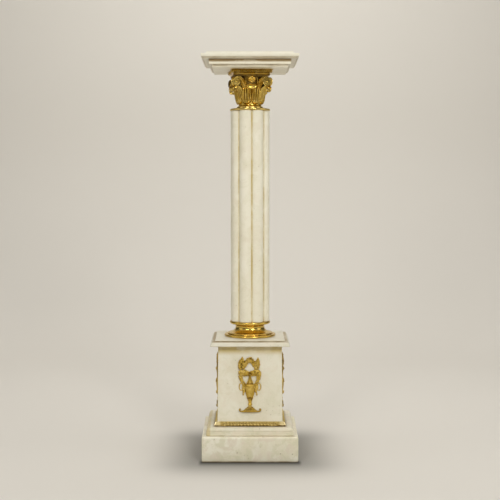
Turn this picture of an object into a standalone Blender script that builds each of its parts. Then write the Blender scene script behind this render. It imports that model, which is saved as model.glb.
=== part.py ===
# Column pedestal: cream marble blocks and a reeded marble shaft with gilt bronze mounts.
# Metres, +Z up. The origin is on the floor under the middle of the plinth, and the front faces -Y.
# Square pieces are listed as (half width, height) from their underside up, turned ones as (radius, height).

import math

import bmesh
import bpy
from mathutils import Matrix, Vector

# Clearance that every piece keeps to the piece it stands on or lies against
JOINT_GAP = 0.0003

# Plinth: the square block on the floor, with its upper edge eased
PLINTH_WIDTH = 0.2850
PLINTH_HEIGHT = 0.0752
PLINTH_EASE = 0.0045

# Plinth step: an upright band, then a quarter round up to a level top
STEP_WIDTH = 0.2586
STEP_TOP_WIDTH = 0.2370
STEP_FASCIA_HEIGHT = 0.0145
STEP_ROUND_HEIGHT = 0.0090

# Die: the tall block that carries the urn mounts, a little wider at its foot
DIE_FOOT_WIDTH = 0.1936
DIE_HEAD_WIDTH = 0.1892
DIE_HEIGHT = 0.2397
DIE_ARRIS = 0.0006

# Die cap: a slab with sloping sides, and a thinner plate on it
CAP_WIDTH = 0.2354
CAP_SHOULDER_WIDTH = 0.2240
CAP_PLATE_WIDTH = 0.2064
CAP_EDGE_HEIGHT = 0.0022
CAP_SLOPE_HEIGHT = 0.0102
CAP_PLATE_HEIGHT = 0.0050

# Column base: turned bronze, from the torus on the cap up to the rim under the shaft
BASE_TORUS_RADIUS = 0.0776
BASE_TORUS_HEIGHT = 0.0066
BASE_STEP_RADIUS = 0.0684
BASE_STEP_HEIGHT = 0.0040
BASE_WAIST_RADIUS = 0.0438
BASE_FLARE_HEIGHT = 0.0192
BASE_NECK_HEIGHT = 0.0080
BASE_RIM_LIP = 0.0013
BASE_RIM_HEIGHT = 0.0077

# Shaft: eight reeds side by side, their ends rounded over
SHAFT_RADIUS = 0.0602
SHAFT_HEIGHT = 0.6342
REED_COUNT = 8
REED_SHARE = 0.354
REED_END_ROUND = 0.0022

# Neck ring: turned bronze, a flange on the shaft that sweeps in to the capital
NECK_LIP = 0.0008
NECK_FLANGE_HEIGHT = 0.0068
NECK_SWEEP_HEIGHT = 0.0077
NECK_COLLAR = 0.0012

# Capital: a leafy bell, corner volutes on stems, and a square abacus
CAPITAL_HEIGHT = 0.1053
BELL_FOOT_RADIUS = 0.0372
BELL_MID_RADIUS = 0.0450
BELL_HEAD_RADIUS = 0.0490
LEAF_RELIEF = 0.0024
LEAF_THICKNESS = 0.0048
CORNER_LEAF_REACH = 0.0735
CORNER_LEAF_WIDTH = 0.0240
FACE_LEAF_REACH = 0.0600
FACE_LEAF_WIDTH = 0.0280
VOLUTE_RADIUS = 0.0148
VOLUTE_REACH = 0.0845
VOLUTE_WIDTH = 0.0130
STEM_WIDTH = 0.0105
STEM_SPREAD = math.radians(27.0)
SHELL_RADIUS = 0.0120
SHELL_DEPTH = 0.0070
ABACUS_WIDTH = 0.1274
ABACUS_SOFFIT_WIDTH = 0.1090
ABACUS_HEIGHT = 0.0187
ABACUS_BAND_HEIGHT = 0.0097
ABACUS_HOLLOW = 0.0025
ABACUS_CORNER_CUT = 0.0070

# Heights on the capital, as shares of its own height
LEAF_ROW_TOP = 0.52
CORNER_LEAF_SPAN = (0.18, 0.52)
FACE_LEAF_SPAN = (0.34, 0.60)
STEM_SPAN = (0.40, 0.74)
VOLUTE_CENTRE = 0.646
SHELL_CENTRE = 0.72

# The shaft and the capital stand turned on the square blocks, counter-clockwise from above
COLUMN_TURN = math.radians(6.0)

# Under-slab: a thin block on the capital, and a wider slab with a rounded lower edge
UNDER_BLOCK_WIDTH = 0.2212
UNDER_BLOCK_HEIGHT = 0.0060
UNDER_WIDTH = 0.2390
UNDER_HEIGHT = 0.0158
UNDER_ROUND = 0.0040

# Top slab: a small round under a thick rounded edge, and a hollow slope up to the level top
TOP_WIDTH = 0.2840
TOP_SOFFIT_WIDTH = 0.2650
TOP_FLAT_WIDTH = 0.2510
TOP_ROUND_HEIGHT = 0.0038
TOP_ROUND_INSET = 0.0040
TOP_EDGE_HEIGHT = 0.0098
TOP_EDGE_NOSE = 0.0030
TOP_SLOPE_HEIGHT = 0.0056
TOP_FILLET = 0.0010

# Border: four cast leaf strips round the foot of the die, mitred at its corners
BORDER_HEIGHT = 0.0133
BORDER_PROJECTION = 0.0078
BORDER_TOP_BEAD = 0.0022
BORDER_LEAF_COUNT = 9
BORDER_LEAF_RELIEF = 0.0010

# Urn mounts: one cast relief on each face of the die
MOUNT_HEIGHT = 0.1660
MOUNT_WIDTH = 0.0660
MOUNT_LIFT = 0.0415
MOUNT_DEPTH = 0.0080
GARLAND_WIDTH = 0.0100
ROSETTE_RADIUS = 0.0070
TENDRIL_THICKNESS = 0.0038
HANDLE_WIDTH = 0.0110
HANDLE_HEIGHT = 0.0220
LEFT_LEAF_WIDTH = 0.0170
RIGHT_LEAF_WIDTH = 0.0140

# Smoothness of the faceted solids
TURNED_SIDES = 28
ARC_STEPS = 4
CAPITAL_SIDES = 48
REED_STEPS = 6
SHARP_ANGLE = math.radians(32.0)
FLAT_ANGLE = math.radians(1.5)

STONE = ("cream_marble", (0.71, 0.66, 0.52), 0.38, 0.0)
GILT = ("gilt_bronze", (0.62, 0.38, 0.10), 0.28, 1.0)


def make_material(finish):
    name, colour, roughness, metallic = finish
    material = bpy.data.materials.get(name)
    if material is None:
        material = bpy.data.materials.new(name)
        material.use_nodes = True
        shader = material.node_tree.nodes["Principled BSDF"]
        shader.inputs["Base Color"].default_value = (*colour, 1.0)
        shader.inputs["Roughness"].default_value = roughness
        shader.inputs["Metallic"].default_value = metallic
    return material


def add_object(name, shape, finish):
    # Turns a bmesh into a named object that is smooth except at its sharp edges
    bmesh.ops.recalc_face_normals(shape, faces=shape.faces)
    mesh = bpy.data.meshes.new(name)
    shape.to_mesh(mesh)
    shape.free()
    mesh.materials.append(make_material(finish))
    return place_mesh(name, mesh, Matrix.Identity(4))


def place_mesh(name, mesh, place):
    mesh.shade_smooth()
    mesh.set_sharp_from_angle(angle=SHARP_ANGLE)
    item = bpy.data.objects.new(name, mesh)
    bpy.context.scene.collection.objects.link(item)
    item.matrix_world = place
    return item


def convex(start, end, steps=ARC_STEPS):
    # A quarter round from start, where it runs upright, to end, where it runs level
    angles = [math.pi / 2 * k / steps for k in range(steps + 1)]
    return [(end[0] + (start[0] - end[0]) * math.cos(a), start[1] + (end[1] - start[1]) * math.sin(a))
            for a in angles]


def hollow(start, end, steps=ARC_STEPS):
    # A quarter hollow from start, where it runs level, to end, where it runs upright
    angles = [math.pi / 2 * k / steps for k in range(steps + 1)]
    return [(start[0] + (end[0] - start[0]) * math.sin(a), end[1] - (end[1] - start[1]) * math.cos(a))
            for a in angles]


def swell_out(start, end, steps=ARC_STEPS):
    # A quarter round from start, where it runs level, out to end, where it runs upright
    angles = [math.pi / 2 * k / steps for k in range(steps + 1)]
    return [(start[0] + (end[0] - start[0]) * math.sin(a), end[1] - (end[1] - start[1]) * math.cos(a))
            for a in angles]


def bead(radius, bottom, top, bulge, steps):
    # A rounded edge that stands out by bulge between two heights
    middle = (bottom + top) / 2
    half = (top - bottom) / 2
    angles = [-math.pi / 2 + math.pi * k / steps for k in range(steps + 1)]
    return [(radius - bulge + bulge * math.cos(a), middle + half * math.sin(a)) for a in angles]


def stack_rings(shape, rings):
    # Skins a list of rings of points, from the lowest up, and closes both ends
    loops = [[shape.verts.new(point) for point in ring] for ring in rings]
    count = len(loops[0])
    for lower, upper in zip(loops, loops[1:]):
        for k in range(count):
            after = (k + 1) % count
            shape.faces.new((lower[k], lower[after], upper[after], upper[k]))
    shape.faces.new(reversed(loops[0]))
    shape.faces.new(loops[-1])


def square_block(name, bottom, profile, finish):
    shape = bmesh.new()
    corners = ((-1, -1), (1, -1), (1, 1), (-1, 1))
    stack_rings(shape, [[(x * half, y * half, bottom + z) for x, y in corners] for half, z in profile])
    return add_object(name, shape, finish)


def turned_rings(profile, bottom=0.0, sides=TURNED_SIDES):
    angles = [2 * math.pi * (k + 0.5) / sides for k in range(sides)]
    return [[(r * math.cos(a), r * math.sin(a), bottom + z) for a in angles] for r, z in profile]


def turned_piece(name, bottom, profile, finish):
    shape = bmesh.new()
    stack_rings(shape, turned_rings(profile, bottom))
    return add_object(name, shape, finish)


def sweep(path, half_widths, half_depths, across, sides=4):
    # A closed bar along a path; across gives the direction of its width at each point
    shape = bmesh.new()
    rings = []
    turns = [2 * math.pi * (j + 0.5) / sides for j in range(sides)]
    grow = 1 / math.cos(math.pi / sides)
    for k, point in enumerate(path):
        ahead = path[min(k + 1, len(path) - 1)] - path[max(k - 1, 0)]
        wide = across[k].normalized() * half_widths[k] * grow
        deep = ahead.cross(wide).normalized() * half_depths[k] * grow
        rings.append([point + wide * math.cos(a) + deep * math.sin(a) for a in turns])
    stack_rings(shape, rings)
    return shape


def smooth_path(points, steps):
    # Points along a Catmull-Rom curve through the given ones
    knots = [points[0] * 2 - points[1], *points, points[-1] * 2 - points[-2]]
    path = []
    for a, b, c, d in zip(knots, knots[1:], knots[2:], knots[3:]):
        for k in range(steps):
            t = k / steps
            path.append(0.5 * (2 * b + (c - a) * t + (2 * a - 5 * b + 4 * c - d) * t * t
                               + (3 * b - a - 3 * c + d) * t ** 3))
    path.append(points[-1])
    return path


def blend_values(values, count):
    # Spreads a short list of values evenly over a longer one
    result = []
    for k in range(count):
        place = k / (count - 1) * (len(values) - 1)
        low = min(int(place), len(values) - 2)
        result.append(values[low] + (values[low + 1] - values[low]) * (place - low))
    return result


def united_mesh(name, shapes, finish, cutter=None):
    # Joins overlapping closed shapes into one body and takes the cutter away from it
    group = bpy.data.collections.new(name + "_shapes")
    made = [add_object(f"{name}_shape_{k}", shape, finish) for k, shape in enumerate(shapes)]
    for item in made[1:]:
        group.objects.link(item)
    joined = made[0].modifiers.new("join", "BOOLEAN")
    joined.operation = "UNION"
    joined.solver = "EXACT"
    joined.operand_type = "COLLECTION"
    joined.collection = group
    joined.use_self = True
    if cutter is not None:
        tool = add_object(name + "_cutter", cutter, finish)
        cut = made[0].modifiers.new("cut", "BOOLEAN")
        cut.operation = "DIFFERENCE"
        cut.solver = "EXACT"
        cut.object = tool
        made.append(tool)
    bpy.context.view_layer.update()
    whole = made[0].evaluated_get(bpy.context.evaluated_depsgraph_get())
    mesh = bpy.data.meshes.new_from_object(whole)
    mesh.name = name
    shape = bmesh.new()
    shape.from_mesh(mesh)
    bmesh.ops.dissolve_limit(shape, angle_limit=FLAT_ANGLE, verts=shape.verts, edges=shape.edges)
    shape.to_mesh(mesh)
    shape.free()
    for item in made:
        bpy.data.objects.remove(item)
    bpy.data.collections.remove(group)
    return mesh


def make_plinth(bottom):
    half = PLINTH_WIDTH / 2
    profile = [(half, 0.0)]
    profile += convex((half, PLINTH_HEIGHT - PLINTH_EASE), (half - PLINTH_EASE, PLINTH_HEIGHT))
    square_block("plinth", bottom, profile, STONE)
    return bottom + PLINTH_HEIGHT


def make_step(bottom):
    half = STEP_WIDTH / 2
    top = STEP_FASCIA_HEIGHT + STEP_ROUND_HEIGHT
    profile = [(half, 0.0)]
    profile += convex((half, STEP_FASCIA_HEIGHT), (STEP_TOP_WIDTH / 2, top))
    square_block("plinth_step", bottom, profile, STONE)
    return bottom + top


def make_die(bottom):
    foot = DIE_FOOT_WIDTH / 2
    head = DIE_HEAD_WIDTH / 2
    profile = [(foot, 0.0), (head, DIE_HEIGHT - DIE_ARRIS), (head - DIE_ARRIS, DIE_HEIGHT)]
    square_block("die", bottom, profile, STONE)
    return bottom + DIE_HEIGHT


def make_cap(bottom):
    plate = CAP_PLATE_WIDTH / 2
    shoulder = CAP_EDGE_HEIGHT + CAP_SLOPE_HEIGHT
    top = shoulder + CAP_PLATE_HEIGHT
    eased = CAP_PLATE_HEIGHT / 5
    profile = [(CAP_WIDTH / 2, 0.0), (CAP_WIDTH / 2, CAP_EDGE_HEIGHT), (CAP_SHOULDER_WIDTH / 2, shoulder)]
    profile += hollow((plate, shoulder), (plate - eased, top - 2 * eased), 2)
    profile += convex((plate, top - eased), (plate - eased, top), 2)
    square_block("die_cap", bottom, profile, STONE)
    return bottom + top


def make_column_base(bottom):
    rim = SHAFT_RADIUS + BASE_RIM_LIP
    step = BASE_TORUS_HEIGHT + BASE_STEP_HEIGHT
    waist = step + BASE_FLARE_HEIGHT
    neck = waist + BASE_NECK_HEIGHT
    top = neck + BASE_RIM_HEIGHT
    profile = bead(BASE_TORUS_RADIUS, 0.0, BASE_TORUS_HEIGHT, BASE_TORUS_HEIGHT / 2, 4)
    profile += bead(BASE_STEP_RADIUS, BASE_TORUS_HEIGHT, step, BASE_STEP_HEIGHT / 3, 2)
    profile += hollow((BASE_STEP_RADIUS - BASE_STEP_HEIGHT, step), (BASE_WAIST_RADIUS, waist))
    under = rim - BASE_RIM_HEIGHT / 3
    reach = under - BASE_WAIST_RADIUS
    for k in range(1, 3):
        angle = math.pi / 2 * k / 2
        profile.append((under - reach * math.cos(angle), waist + BASE_NECK_HEIGHT * math.sin(angle)))
    profile += bead(rim, neck, top, BASE_RIM_HEIGHT / 3, 3)[1:]
    turned_piece("column_base", bottom, profile, GILT)
    return bottom + top


def reed_outline(radius):
    # Eight round reeds: each is an arc that meets its neighbour in a sharp groove
    reed = REED_SHARE * radius
    centre = radius - reed
    half = math.pi / REED_COUNT
    groove = centre * math.cos(half) + math.sqrt(reed ** 2 - (centre * math.sin(half)) ** 2)
    spread = math.atan2(groove * math.sin(half), groove * math.cos(half) - centre)
    outline = []
    for k in range(REED_COUNT):
        turn = 2 * half * (k + 0.5) - math.pi / 2 + COLUMN_TURN
        for j in range(REED_STEPS):
            angle = spread * (2 * j / REED_STEPS - 1)
            x = centre + reed * math.cos(angle)
            y = reed * math.sin(angle)
            outline.append(Matrix.Rotation(turn, 2) @ Vector((x, y)))
    return outline


def make_shaft(bottom):
    levels = []
    for k in range(4):
        angle = math.pi / 2 * k / 3
        inset = REED_END_ROUND * (1 - math.sin(angle))
        levels.append((SHAFT_RADIUS - inset, REED_END_ROUND * (1 - math.cos(angle))))
    levels += [(radius, SHAFT_HEIGHT - z) for radius, z in reversed(levels)]
    rings = [[(x, y, bottom + z) for x, y in reed_outline(radius)] for radius, z in levels]
    shape = bmesh.new()
    stack_rings(shape, rings)
    add_object("shaft", shape, STONE)
    return bottom + SHAFT_HEIGHT


def make_neck_ring(bottom):
    flange = SHAFT_RADIUS + NECK_LIP
    top = NECK_FLANGE_HEIGHT + NECK_SWEEP_HEIGHT
    edge = NECK_FLANGE_HEIGHT / 2
    profile = bead(flange, 0.0, NECK_FLANGE_HEIGHT, edge, 3)
    collar = BELL_FOOT_RADIUS + NECK_COLLAR
    profile += hollow((flange - edge - NECK_COLLAR, NECK_FLANGE_HEIGHT), (collar, top))
    turned_piece("neck_ring", bottom, profile, GILT)
    return bottom + top


def polar(radius, angle, height):
    return Vector((radius * math.cos(angle), radius * math.sin(angle), height))


def bell_radius(height):
    # The bell widens fast up to the leaf tips and slowly above them
    share = height / CAPITAL_HEIGHT
    if share < LEAF_ROW_TOP:
        return BELL_FOOT_RADIUS + (BELL_MID_RADIUS - BELL_FOOT_RADIUS) * share / LEAF_ROW_TOP
    above = (share - LEAF_ROW_TOP) / (1 - LEAF_ROW_TOP)
    return BELL_MID_RADIUS + (BELL_HEAD_RADIUS - BELL_MID_RADIUS) * above


def bell_shape():
    # The bell with two leaf lobes on each face, round at their feet, and a small dart between them
    lobes = 8
    shares = (0.0, 0.04, 0.12, 0.30, LEAF_ROW_TOP - 0.06, LEAF_ROW_TOP, 0.86)
    rings = []
    for share in shares:
        height = share * CAPITAL_HEIGHT
        ring = []
        for k in range(CAPITAL_SIDES):
            angle = 2 * math.pi * k / CAPITAL_SIDES
            swell = abs(math.sin(lobes / 2 * angle)) ** 0.5
            foot = min(1.0, max(0.0, (share - 0.10 * (1 - swell)) / 0.08))
            head = min(1.0, max(0.0, (LEAF_ROW_TOP - share) / 0.06))
            rib = 0.75 + 0.25 * math.cos(3 * lobes * angle)
            ring.append(polar(bell_radius(height) + LEAF_RELIEF * swell * rib * foot * head, angle, height))
        rings.append(ring)
    shape = bmesh.new()
    stack_rings(shape, rings)
    return shape


def curled_leaf(angle, reach, half_widths, span):
    # A leaf tip that leaves the bell at its low share, rises to its high share and rolls over outward
    low, high = [CAPITAL_HEIGHT * share for share in span]
    root = bell_radius(low)
    rise = high - low
    roll = rise * 0.34
    side = polar(1.0, angle + math.pi / 2, 0.0)
    spots = [(root - LEAF_THICKNESS / 2, low), (root + (reach - root) * 0.10, low + rise * 0.42),
             (root + (reach - root) * 0.42, high - roll * 0.55), (reach - roll * 0.75, high),
             (reach, high - roll * 0.70), (reach - roll * 0.45, high - roll * 1.20)]
    path = smooth_path([polar(r, angle, z) for r, z in spots], 2)
    widths = blend_values(half_widths, len(path))
    depths = [LEAF_THICKNESS / 2] * len(path)
    return sweep(path, widths, depths, [side] * len(path))


def volute(angle):
    # A thick scroll that stands in the plane of a corner, with a spiral on both its sides
    centre = polar(VOLUTE_REACH - VOLUTE_RADIUS, angle, CAPITAL_HEIGHT * VOLUTE_CENTRE)
    out = polar(1.0, angle, 0.0)
    side = polar(1.0, angle + math.pi / 2, 0.0)
    up = Vector((0.0, 0.0, 1.0))
    steps = 12
    rings = []
    for share in (0.18, 0.42, 0.70, 1.0):
        ring = []
        for k in range(steps):
            turn = 2 * math.pi * k / steps
            ridge = 0.5 + 0.5 * math.cos(2 * math.pi * (1.7 * share - k / steps))
            lift = VOLUTE_WIDTH / 2 * (0.70 + 0.30 * ridge if share > 0.2 else 1.0)
            ring.append((share, turn, lift))
        rings.append(ring)

    def spot(share, turn, lift):
        reach = share * VOLUTE_RADIUS
        return centre + out * reach * math.cos(turn) + up * reach * math.sin(turn) + side * lift

    front = [[spot(s, t, h) for s, t, h in ring] for ring in rings]
    back = [[spot(s, t, -h) for s, t, h in ring] for ring in reversed(rings)]
    shape = bmesh.new()
    stack_rings(shape, front + back)
    return shape


def stem(corner, sign):
    # A stem that climbs from beside the middle of a face to the top of a corner's volute
    start = corner + sign * STEM_SPREAD
    eye = VOLUTE_REACH - VOLUTE_RADIUS
    foot, head = [CAPITAL_HEIGHT * share for share in STEM_SPAN]
    root = bell_radius(foot)
    spots = [(0.0, 0.0, 0.0), (0.22, 0.26, 0.30), (0.44, 0.52, 0.62), (0.72, 0.78, 0.88), (1.0, 0.95, 1.0)]
    path = [polar(root + (eye - root) * out, start + (corner - start) * turn, foot + (head - foot) * up)
            for out, turn, up in spots]
    along = [path[min(k + 1, len(path) - 1)] - path[max(k - 1, 0)] for k in range(len(path))]
    across = [a.cross(Vector((p.x, p.y, 0.0))) for a, p in zip(along, path)]
    widths = blend_values([STEM_WIDTH * share for share in (0.35, 0.5, 0.5, 0.4)], len(path))
    return sweep(path, widths, [w * 0.8 for w in widths], across)


def shell(angle):
    # A shallow domed shell in the middle of a face, under the abacus
    height = CAPITAL_HEIGHT * SHELL_CENTRE
    centre = polar(bell_radius(height) - SHELL_DEPTH / 3, angle, height)
    out = polar(1.0, angle, 0.0)
    side = polar(1.0, angle + math.pi / 2, 0.0)
    sides = 8
    rings = []
    for share, lift in ((1.0, 0.0), (0.92, 0.6), (0.35, 1.0)):
        ring = []
        for k in range(sides):
            turn = 2 * math.pi * k / sides
            rise = Vector((0.0, 0.0, SHELL_RADIUS * share * math.sin(turn)))
            level = side * SHELL_RADIUS * share * math.cos(turn)
            ring.append(centre + level + rise + out * SHELL_DEPTH * lift)
        rings.append(ring)
    shape = bmesh.new()
    stack_rings(shape, rings)
    return shape


def abacus_shape():
    # A square plate with slightly hollowed sides and cut corners, on a hollow moulding
    side_steps = 3
    low = CAPITAL_HEIGHT - ABACUS_HEIGHT
    band = CAPITAL_HEIGHT - ABACUS_BAND_HEIGHT
    soffit = ABACUS_SOFFIT_WIDTH / 2
    wide = ABACUS_WIDTH / 2
    eased = ABACUS_BAND_HEIGHT / 6
    profile = [(soffit, low)]
    profile += hollow((soffit, low + eased), (wide - eased, band), 3)[1:]
    profile += [(wide, band + eased), (wide, CAPITAL_HEIGHT - eased), (wide - eased, CAPITAL_HEIGHT)]
    rings = []
    for half, height in profile:
        ring = []
        run = half - ABACUS_CORNER_CUT
        for quarter in range(4):
            turn = quarter * math.pi / 2
            for k in range(side_steps + 1):
                share = 2 * k / side_steps - 1
                spot = Vector((run * share, -half + ABACUS_HOLLOW * (1 - share ** 2), height))
                ring.append(Matrix.Rotation(turn, 3, "Z") @ spot)
        rings.append(ring)
    shape = bmesh.new()
    stack_rings(shape, rings)
    return shape


def make_capital(bottom):
    shapes = [bell_shape(), abacus_shape()]
    corner_leaf = [CORNER_LEAF_WIDTH * share for share in (0.50, 0.50, 0.46, 0.38, 0.30, 0.18)]
    face_leaf = [FACE_LEAF_WIDTH * share for share in (0.25, 0.30, 0.42, 0.50, 0.50, 0.44)]
    for quarter in range(4):
        face = quarter * math.pi / 2
        corner = face + math.pi / 4
        shapes.append(volute(corner))
        shapes.append(stem(corner, 1))
        shapes.append(stem(corner, -1))
        shapes.append(curled_leaf(corner, CORNER_LEAF_REACH, corner_leaf, CORNER_LEAF_SPAN))
        shapes.append(curled_leaf(face, FACE_LEAF_REACH, face_leaf, FACE_LEAF_SPAN))
        shapes.append(shell(face))
    mesh = united_mesh("capital", shapes, GILT)
    turned = Matrix.Rotation(COLUMN_TURN, 4, "Z")
    place_mesh("capital", mesh, Matrix.Translation((0.0, 0.0, bottom)) @ turned)
    return bottom + CAPITAL_HEIGHT


def make_under_slab(bottom):
    block = UNDER_BLOCK_WIDTH / 2
    half = UNDER_WIDTH / 2
    top = UNDER_BLOCK_HEIGHT + UNDER_HEIGHT
    profile = [(block, 0.0), (block, UNDER_BLOCK_HEIGHT)]
    profile += swell_out((half - UNDER_ROUND, UNDER_BLOCK_HEIGHT), (half, UNDER_BLOCK_HEIGHT + UNDER_ROUND))
    profile.append((half, top))
    square_block("under_slab", bottom, profile, STONE)
    return bottom + top


def make_top_slab(bottom):
    half = TOP_WIDTH / 2
    soffit = TOP_SOFFIT_WIDTH / 2
    flat = TOP_FLAT_WIDTH / 2
    inset = half - TOP_ROUND_INSET
    edge = TOP_ROUND_HEIGHT + TOP_EDGE_HEIGHT
    slope = edge + TOP_SLOPE_HEIGHT
    profile = swell_out((soffit, 0.0), (inset, TOP_ROUND_HEIGHT))
    profile += bead(half, TOP_ROUND_HEIGHT, edge, TOP_EDGE_NOSE, 6)
    profile += hollow((half - TOP_EDGE_NOSE, edge), (flat + TOP_FILLET, slope))[1:]
    profile.append((flat, slope + TOP_FILLET))
    square_block("top_slab", bottom, profile, STONE)
    return bottom + slope + TOP_FILLET


def make_borders(bottom):
    # The section stands out from the die's foot: a bead on top, then a leafy slope to a thin lower edge
    inner = DIE_FOOT_WIDTH / 2 + JOINT_GAP
    lip = BORDER_HEIGHT * 0.16
    spans = 2 * BORDER_LEAF_COUNT
    shape = bmesh.new()
    rings = []
    for k in range(spans + 1):
        share = 2 * k / spans - 1
        leaf = BORDER_LEAF_RELIEF * (k % 2)
        section = [(0.0, 0.0), (BORDER_PROJECTION, 0.0), (BORDER_PROJECTION, lip),
                   (BORDER_PROJECTION * 0.62 + leaf, BORDER_HEIGHT * 0.55),
                   (BORDER_TOP_BEAD, BORDER_HEIGHT), (0.0, BORDER_HEIGHT)]
        rings.append([(share * (inner + out - JOINT_GAP), -inner - out, bottom + z) for out, z in section])
    stack_rings(shape, rings)
    front = add_object("border_front", shape, GILT)
    for quarter, side in enumerate(("right", "back", "left"), start=1):
        place_mesh("border_" + side, front.data, Matrix.Rotation(quarter * math.pi / 2, 4, "Z"))


def mount_spot(across, up):
    # A place on the mount, as a share of its half width and of its height
    return Vector((across * MOUNT_WIDTH / 2, 0.0, up * MOUNT_HEIGHT))


def mount_bar(spots, thickness):
    # A bar through places of the mount; thickness may change along it
    path = [mount_spot(*spot) for spot in spots]
    thick = blend_values(thickness, len(path))
    along = [path[min(k + 1, len(path) - 1)] - path[max(k - 1, 0)] for k in range(len(path))]
    across = [a.cross(Vector((0.0, 1.0, 0.0))) for a in along]
    depths = [min(t / 2, MOUNT_DEPTH * 0.4) for t in thick]
    return sweep(path, [t / 2 for t in thick], depths, across)


def mount_ring(across, up, wide, tall, thickness):
    # An upright oval loop handle
    steps = 8
    sides = 4
    shape = bmesh.new()
    loops = []
    for k in range(steps):
        turn = 2 * math.pi * k / steps
        loop = []
        for j in range(sides):
            roll = 2 * math.pi * (j + 0.5) / sides
            grow = thickness / 2 * math.cos(roll)
            x = across * MOUNT_WIDTH / 2 + (wide + grow) * math.cos(turn)
            z = up * MOUNT_HEIGHT + (tall + grow) * math.sin(turn)
            loop.append(shape.verts.new((x, thickness / 2 * math.sin(roll), z)))
        loops.append(loop)
    for k in range(steps):
        one = loops[k]
        two = loops[(k + 1) % steps]
        for j in range(sides):
            after = (j + 1) % sides
            shape.faces.new((one[j], two[j], two[after], one[after]))
    return shape


def mount_turned(profile, depth, sides=8):
    # A turned form flattened to the depth of the relief
    widest = max(r for r, z in profile)
    shape = bmesh.new()
    rings = turned_rings([(r * MOUNT_WIDTH / 2, z * MOUNT_HEIGHT) for r, z in profile], sides=sides)
    squash = depth / (widest * MOUNT_WIDTH / 2)
    stack_rings(shape, [[(x, y * squash, z) for x, y, z in ring] for ring in rings])
    return shape


def mount_leaf(foot, tip, width, bend):
    # A pointed leaf spray that leans from its foot to its tip
    middle = ((foot[0] + tip[0]) / 2 + bend, (foot[1] + tip[1]) / 2)
    path = smooth_path([mount_spot(*foot), mount_spot(*middle), mount_spot(*tip)], 2)
    along = [path[min(k + 1, len(path) - 1)] - path[max(k - 1, 0)] for k in range(len(path))]
    across = [a.cross(Vector((0.0, 1.0, 0.0))) for a in along]
    widths = blend_values([width * 0.20, width * 0.5, width * 0.5, width * 0.36, width * 0.08], len(path))
    depths = [MOUNT_DEPTH * 0.4] * len(path)
    return sweep(path, widths, depths, across)


def mount_shapes():
    # The places are shares, from the foot up: plate, stem, body, lid, garlands, handles, arch, leaves
    foot = [(0.86, 0.0), (0.84, 0.030), (0.50, 0.070), (0.35, 0.100), (0.29, 0.125), (0.17, 0.140),
            (0.22, 0.160), (0.13, 0.200)]
    body = [(0.16, 0.195), (0.16, 0.210), (0.25, 0.250), (0.42, 0.345), (0.45, 0.465), (0.50, 0.475),
            (0.50, 0.505), (0.20, 0.530), (0.15, 0.575), (0.08, 0.660)]
    rosette = ROSETTE_RADIUS / (MOUNT_WIDTH / 2)
    bloom = ROSETTE_RADIUS / MOUNT_HEIGHT
    centre = 0.690
    thin = TENDRIL_THICKNESS
    thick = GARLAND_WIDTH
    shapes = [mount_turned(foot, MOUNT_DEPTH * 0.8), mount_turned(body, MOUNT_DEPTH)]
    flower = [(rosette * 0.5, centre - bloom), (rosette, centre - bloom * 0.5), (rosette, centre + bloom * 0.5),
              (rosette * 0.5, centre + bloom)]
    shapes.append(mount_turned(flower, MOUNT_DEPTH))
    garland = [(-0.92, 0.725), (-0.72, 0.715), (-0.40, 0.700), (0.0, centre), (0.36, 0.700), (0.64, 0.715),
               (0.84, 0.725)]
    shapes.append(mount_bar(garland, [thin, thick * 1.2, thick, thick * 0.8, thick, thick * 1.2, thin]))
    arch = [(-0.54, 0.705), (-0.50, 0.800), (-0.34, 0.890), (-0.04, 0.955), (0.24, 0.890), (0.38, 0.800),
            (0.40, 0.705)]
    shapes.append(mount_bar(arch, [thin, thin, thick * 0.7, thick, thick * 0.7, thin, thin]))
    shapes.append(mount_leaf((-0.52, 0.755), (-0.78, 1.0), LEFT_LEAF_WIDTH, -0.14))
    shapes.append(mount_leaf((0.38, 0.755), (0.68, 0.985), RIGHT_LEAF_WIDTH, 0.08))
    for sign, end in ((-1, 0.84), (1, 0.78)):
        drop = [(end, 0.715), (end, 0.640), (end - 0.08, 0.555), (0.62, 0.460), (0.62, 0.320)]
        side_drop = [(sign * x, z) for x, z in drop]
        swag = [(sign * (end - 0.08), 0.570), (sign * 0.40, 0.495)]
        scroll = [(sign * 0.70, 0.016), (sign * 0.90, 0.022), (sign * 0.95, 0.055)]
        shapes.append(mount_bar(side_drop, [thin * 1.6, thin * 1.4, thin, thin, thin * 0.8]))
        shapes.append(mount_bar(swag, [thin, thin]))
        shapes.append(mount_ring(sign * 0.80, 0.465, HANDLE_WIDTH / 2, HANDLE_HEIGHT / 2, thin * 0.8))
        shapes.append(mount_bar(scroll, [thin * 1.6, thin * 1.6, thin * 1.2]))
    return shapes


def make_mounts(bottom):
    # The back of the relief is cut flat, and it lies against the sloping face of the die
    behind = bmesh.new()
    bmesh.ops.create_cube(behind, size=1.0, matrix=Matrix.Translation((0.0, 0.5, 0.0)))
    mesh = united_mesh("urn_mount", mount_shapes(), GILT, behind)
    slope = math.atan2((DIE_FOOT_WIDTH - DIE_HEAD_WIDTH) / 2, DIE_HEIGHT)
    face = DIE_FOOT_WIDTH / 2 + JOINT_GAP
    lean = Matrix.Translation((0.0, -face, bottom)) @ Matrix.Rotation(-slope, 4, "X")
    place = lean @ Matrix.Translation((0.0, 0.0, MOUNT_LIFT))
    for quarter, side in enumerate(("front", "right", "back", "left")):
        place_mesh("urn_mount_" + side, mesh, Matrix.Rotation(quarter * math.pi / 2, 4, "Z") @ place)


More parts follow.
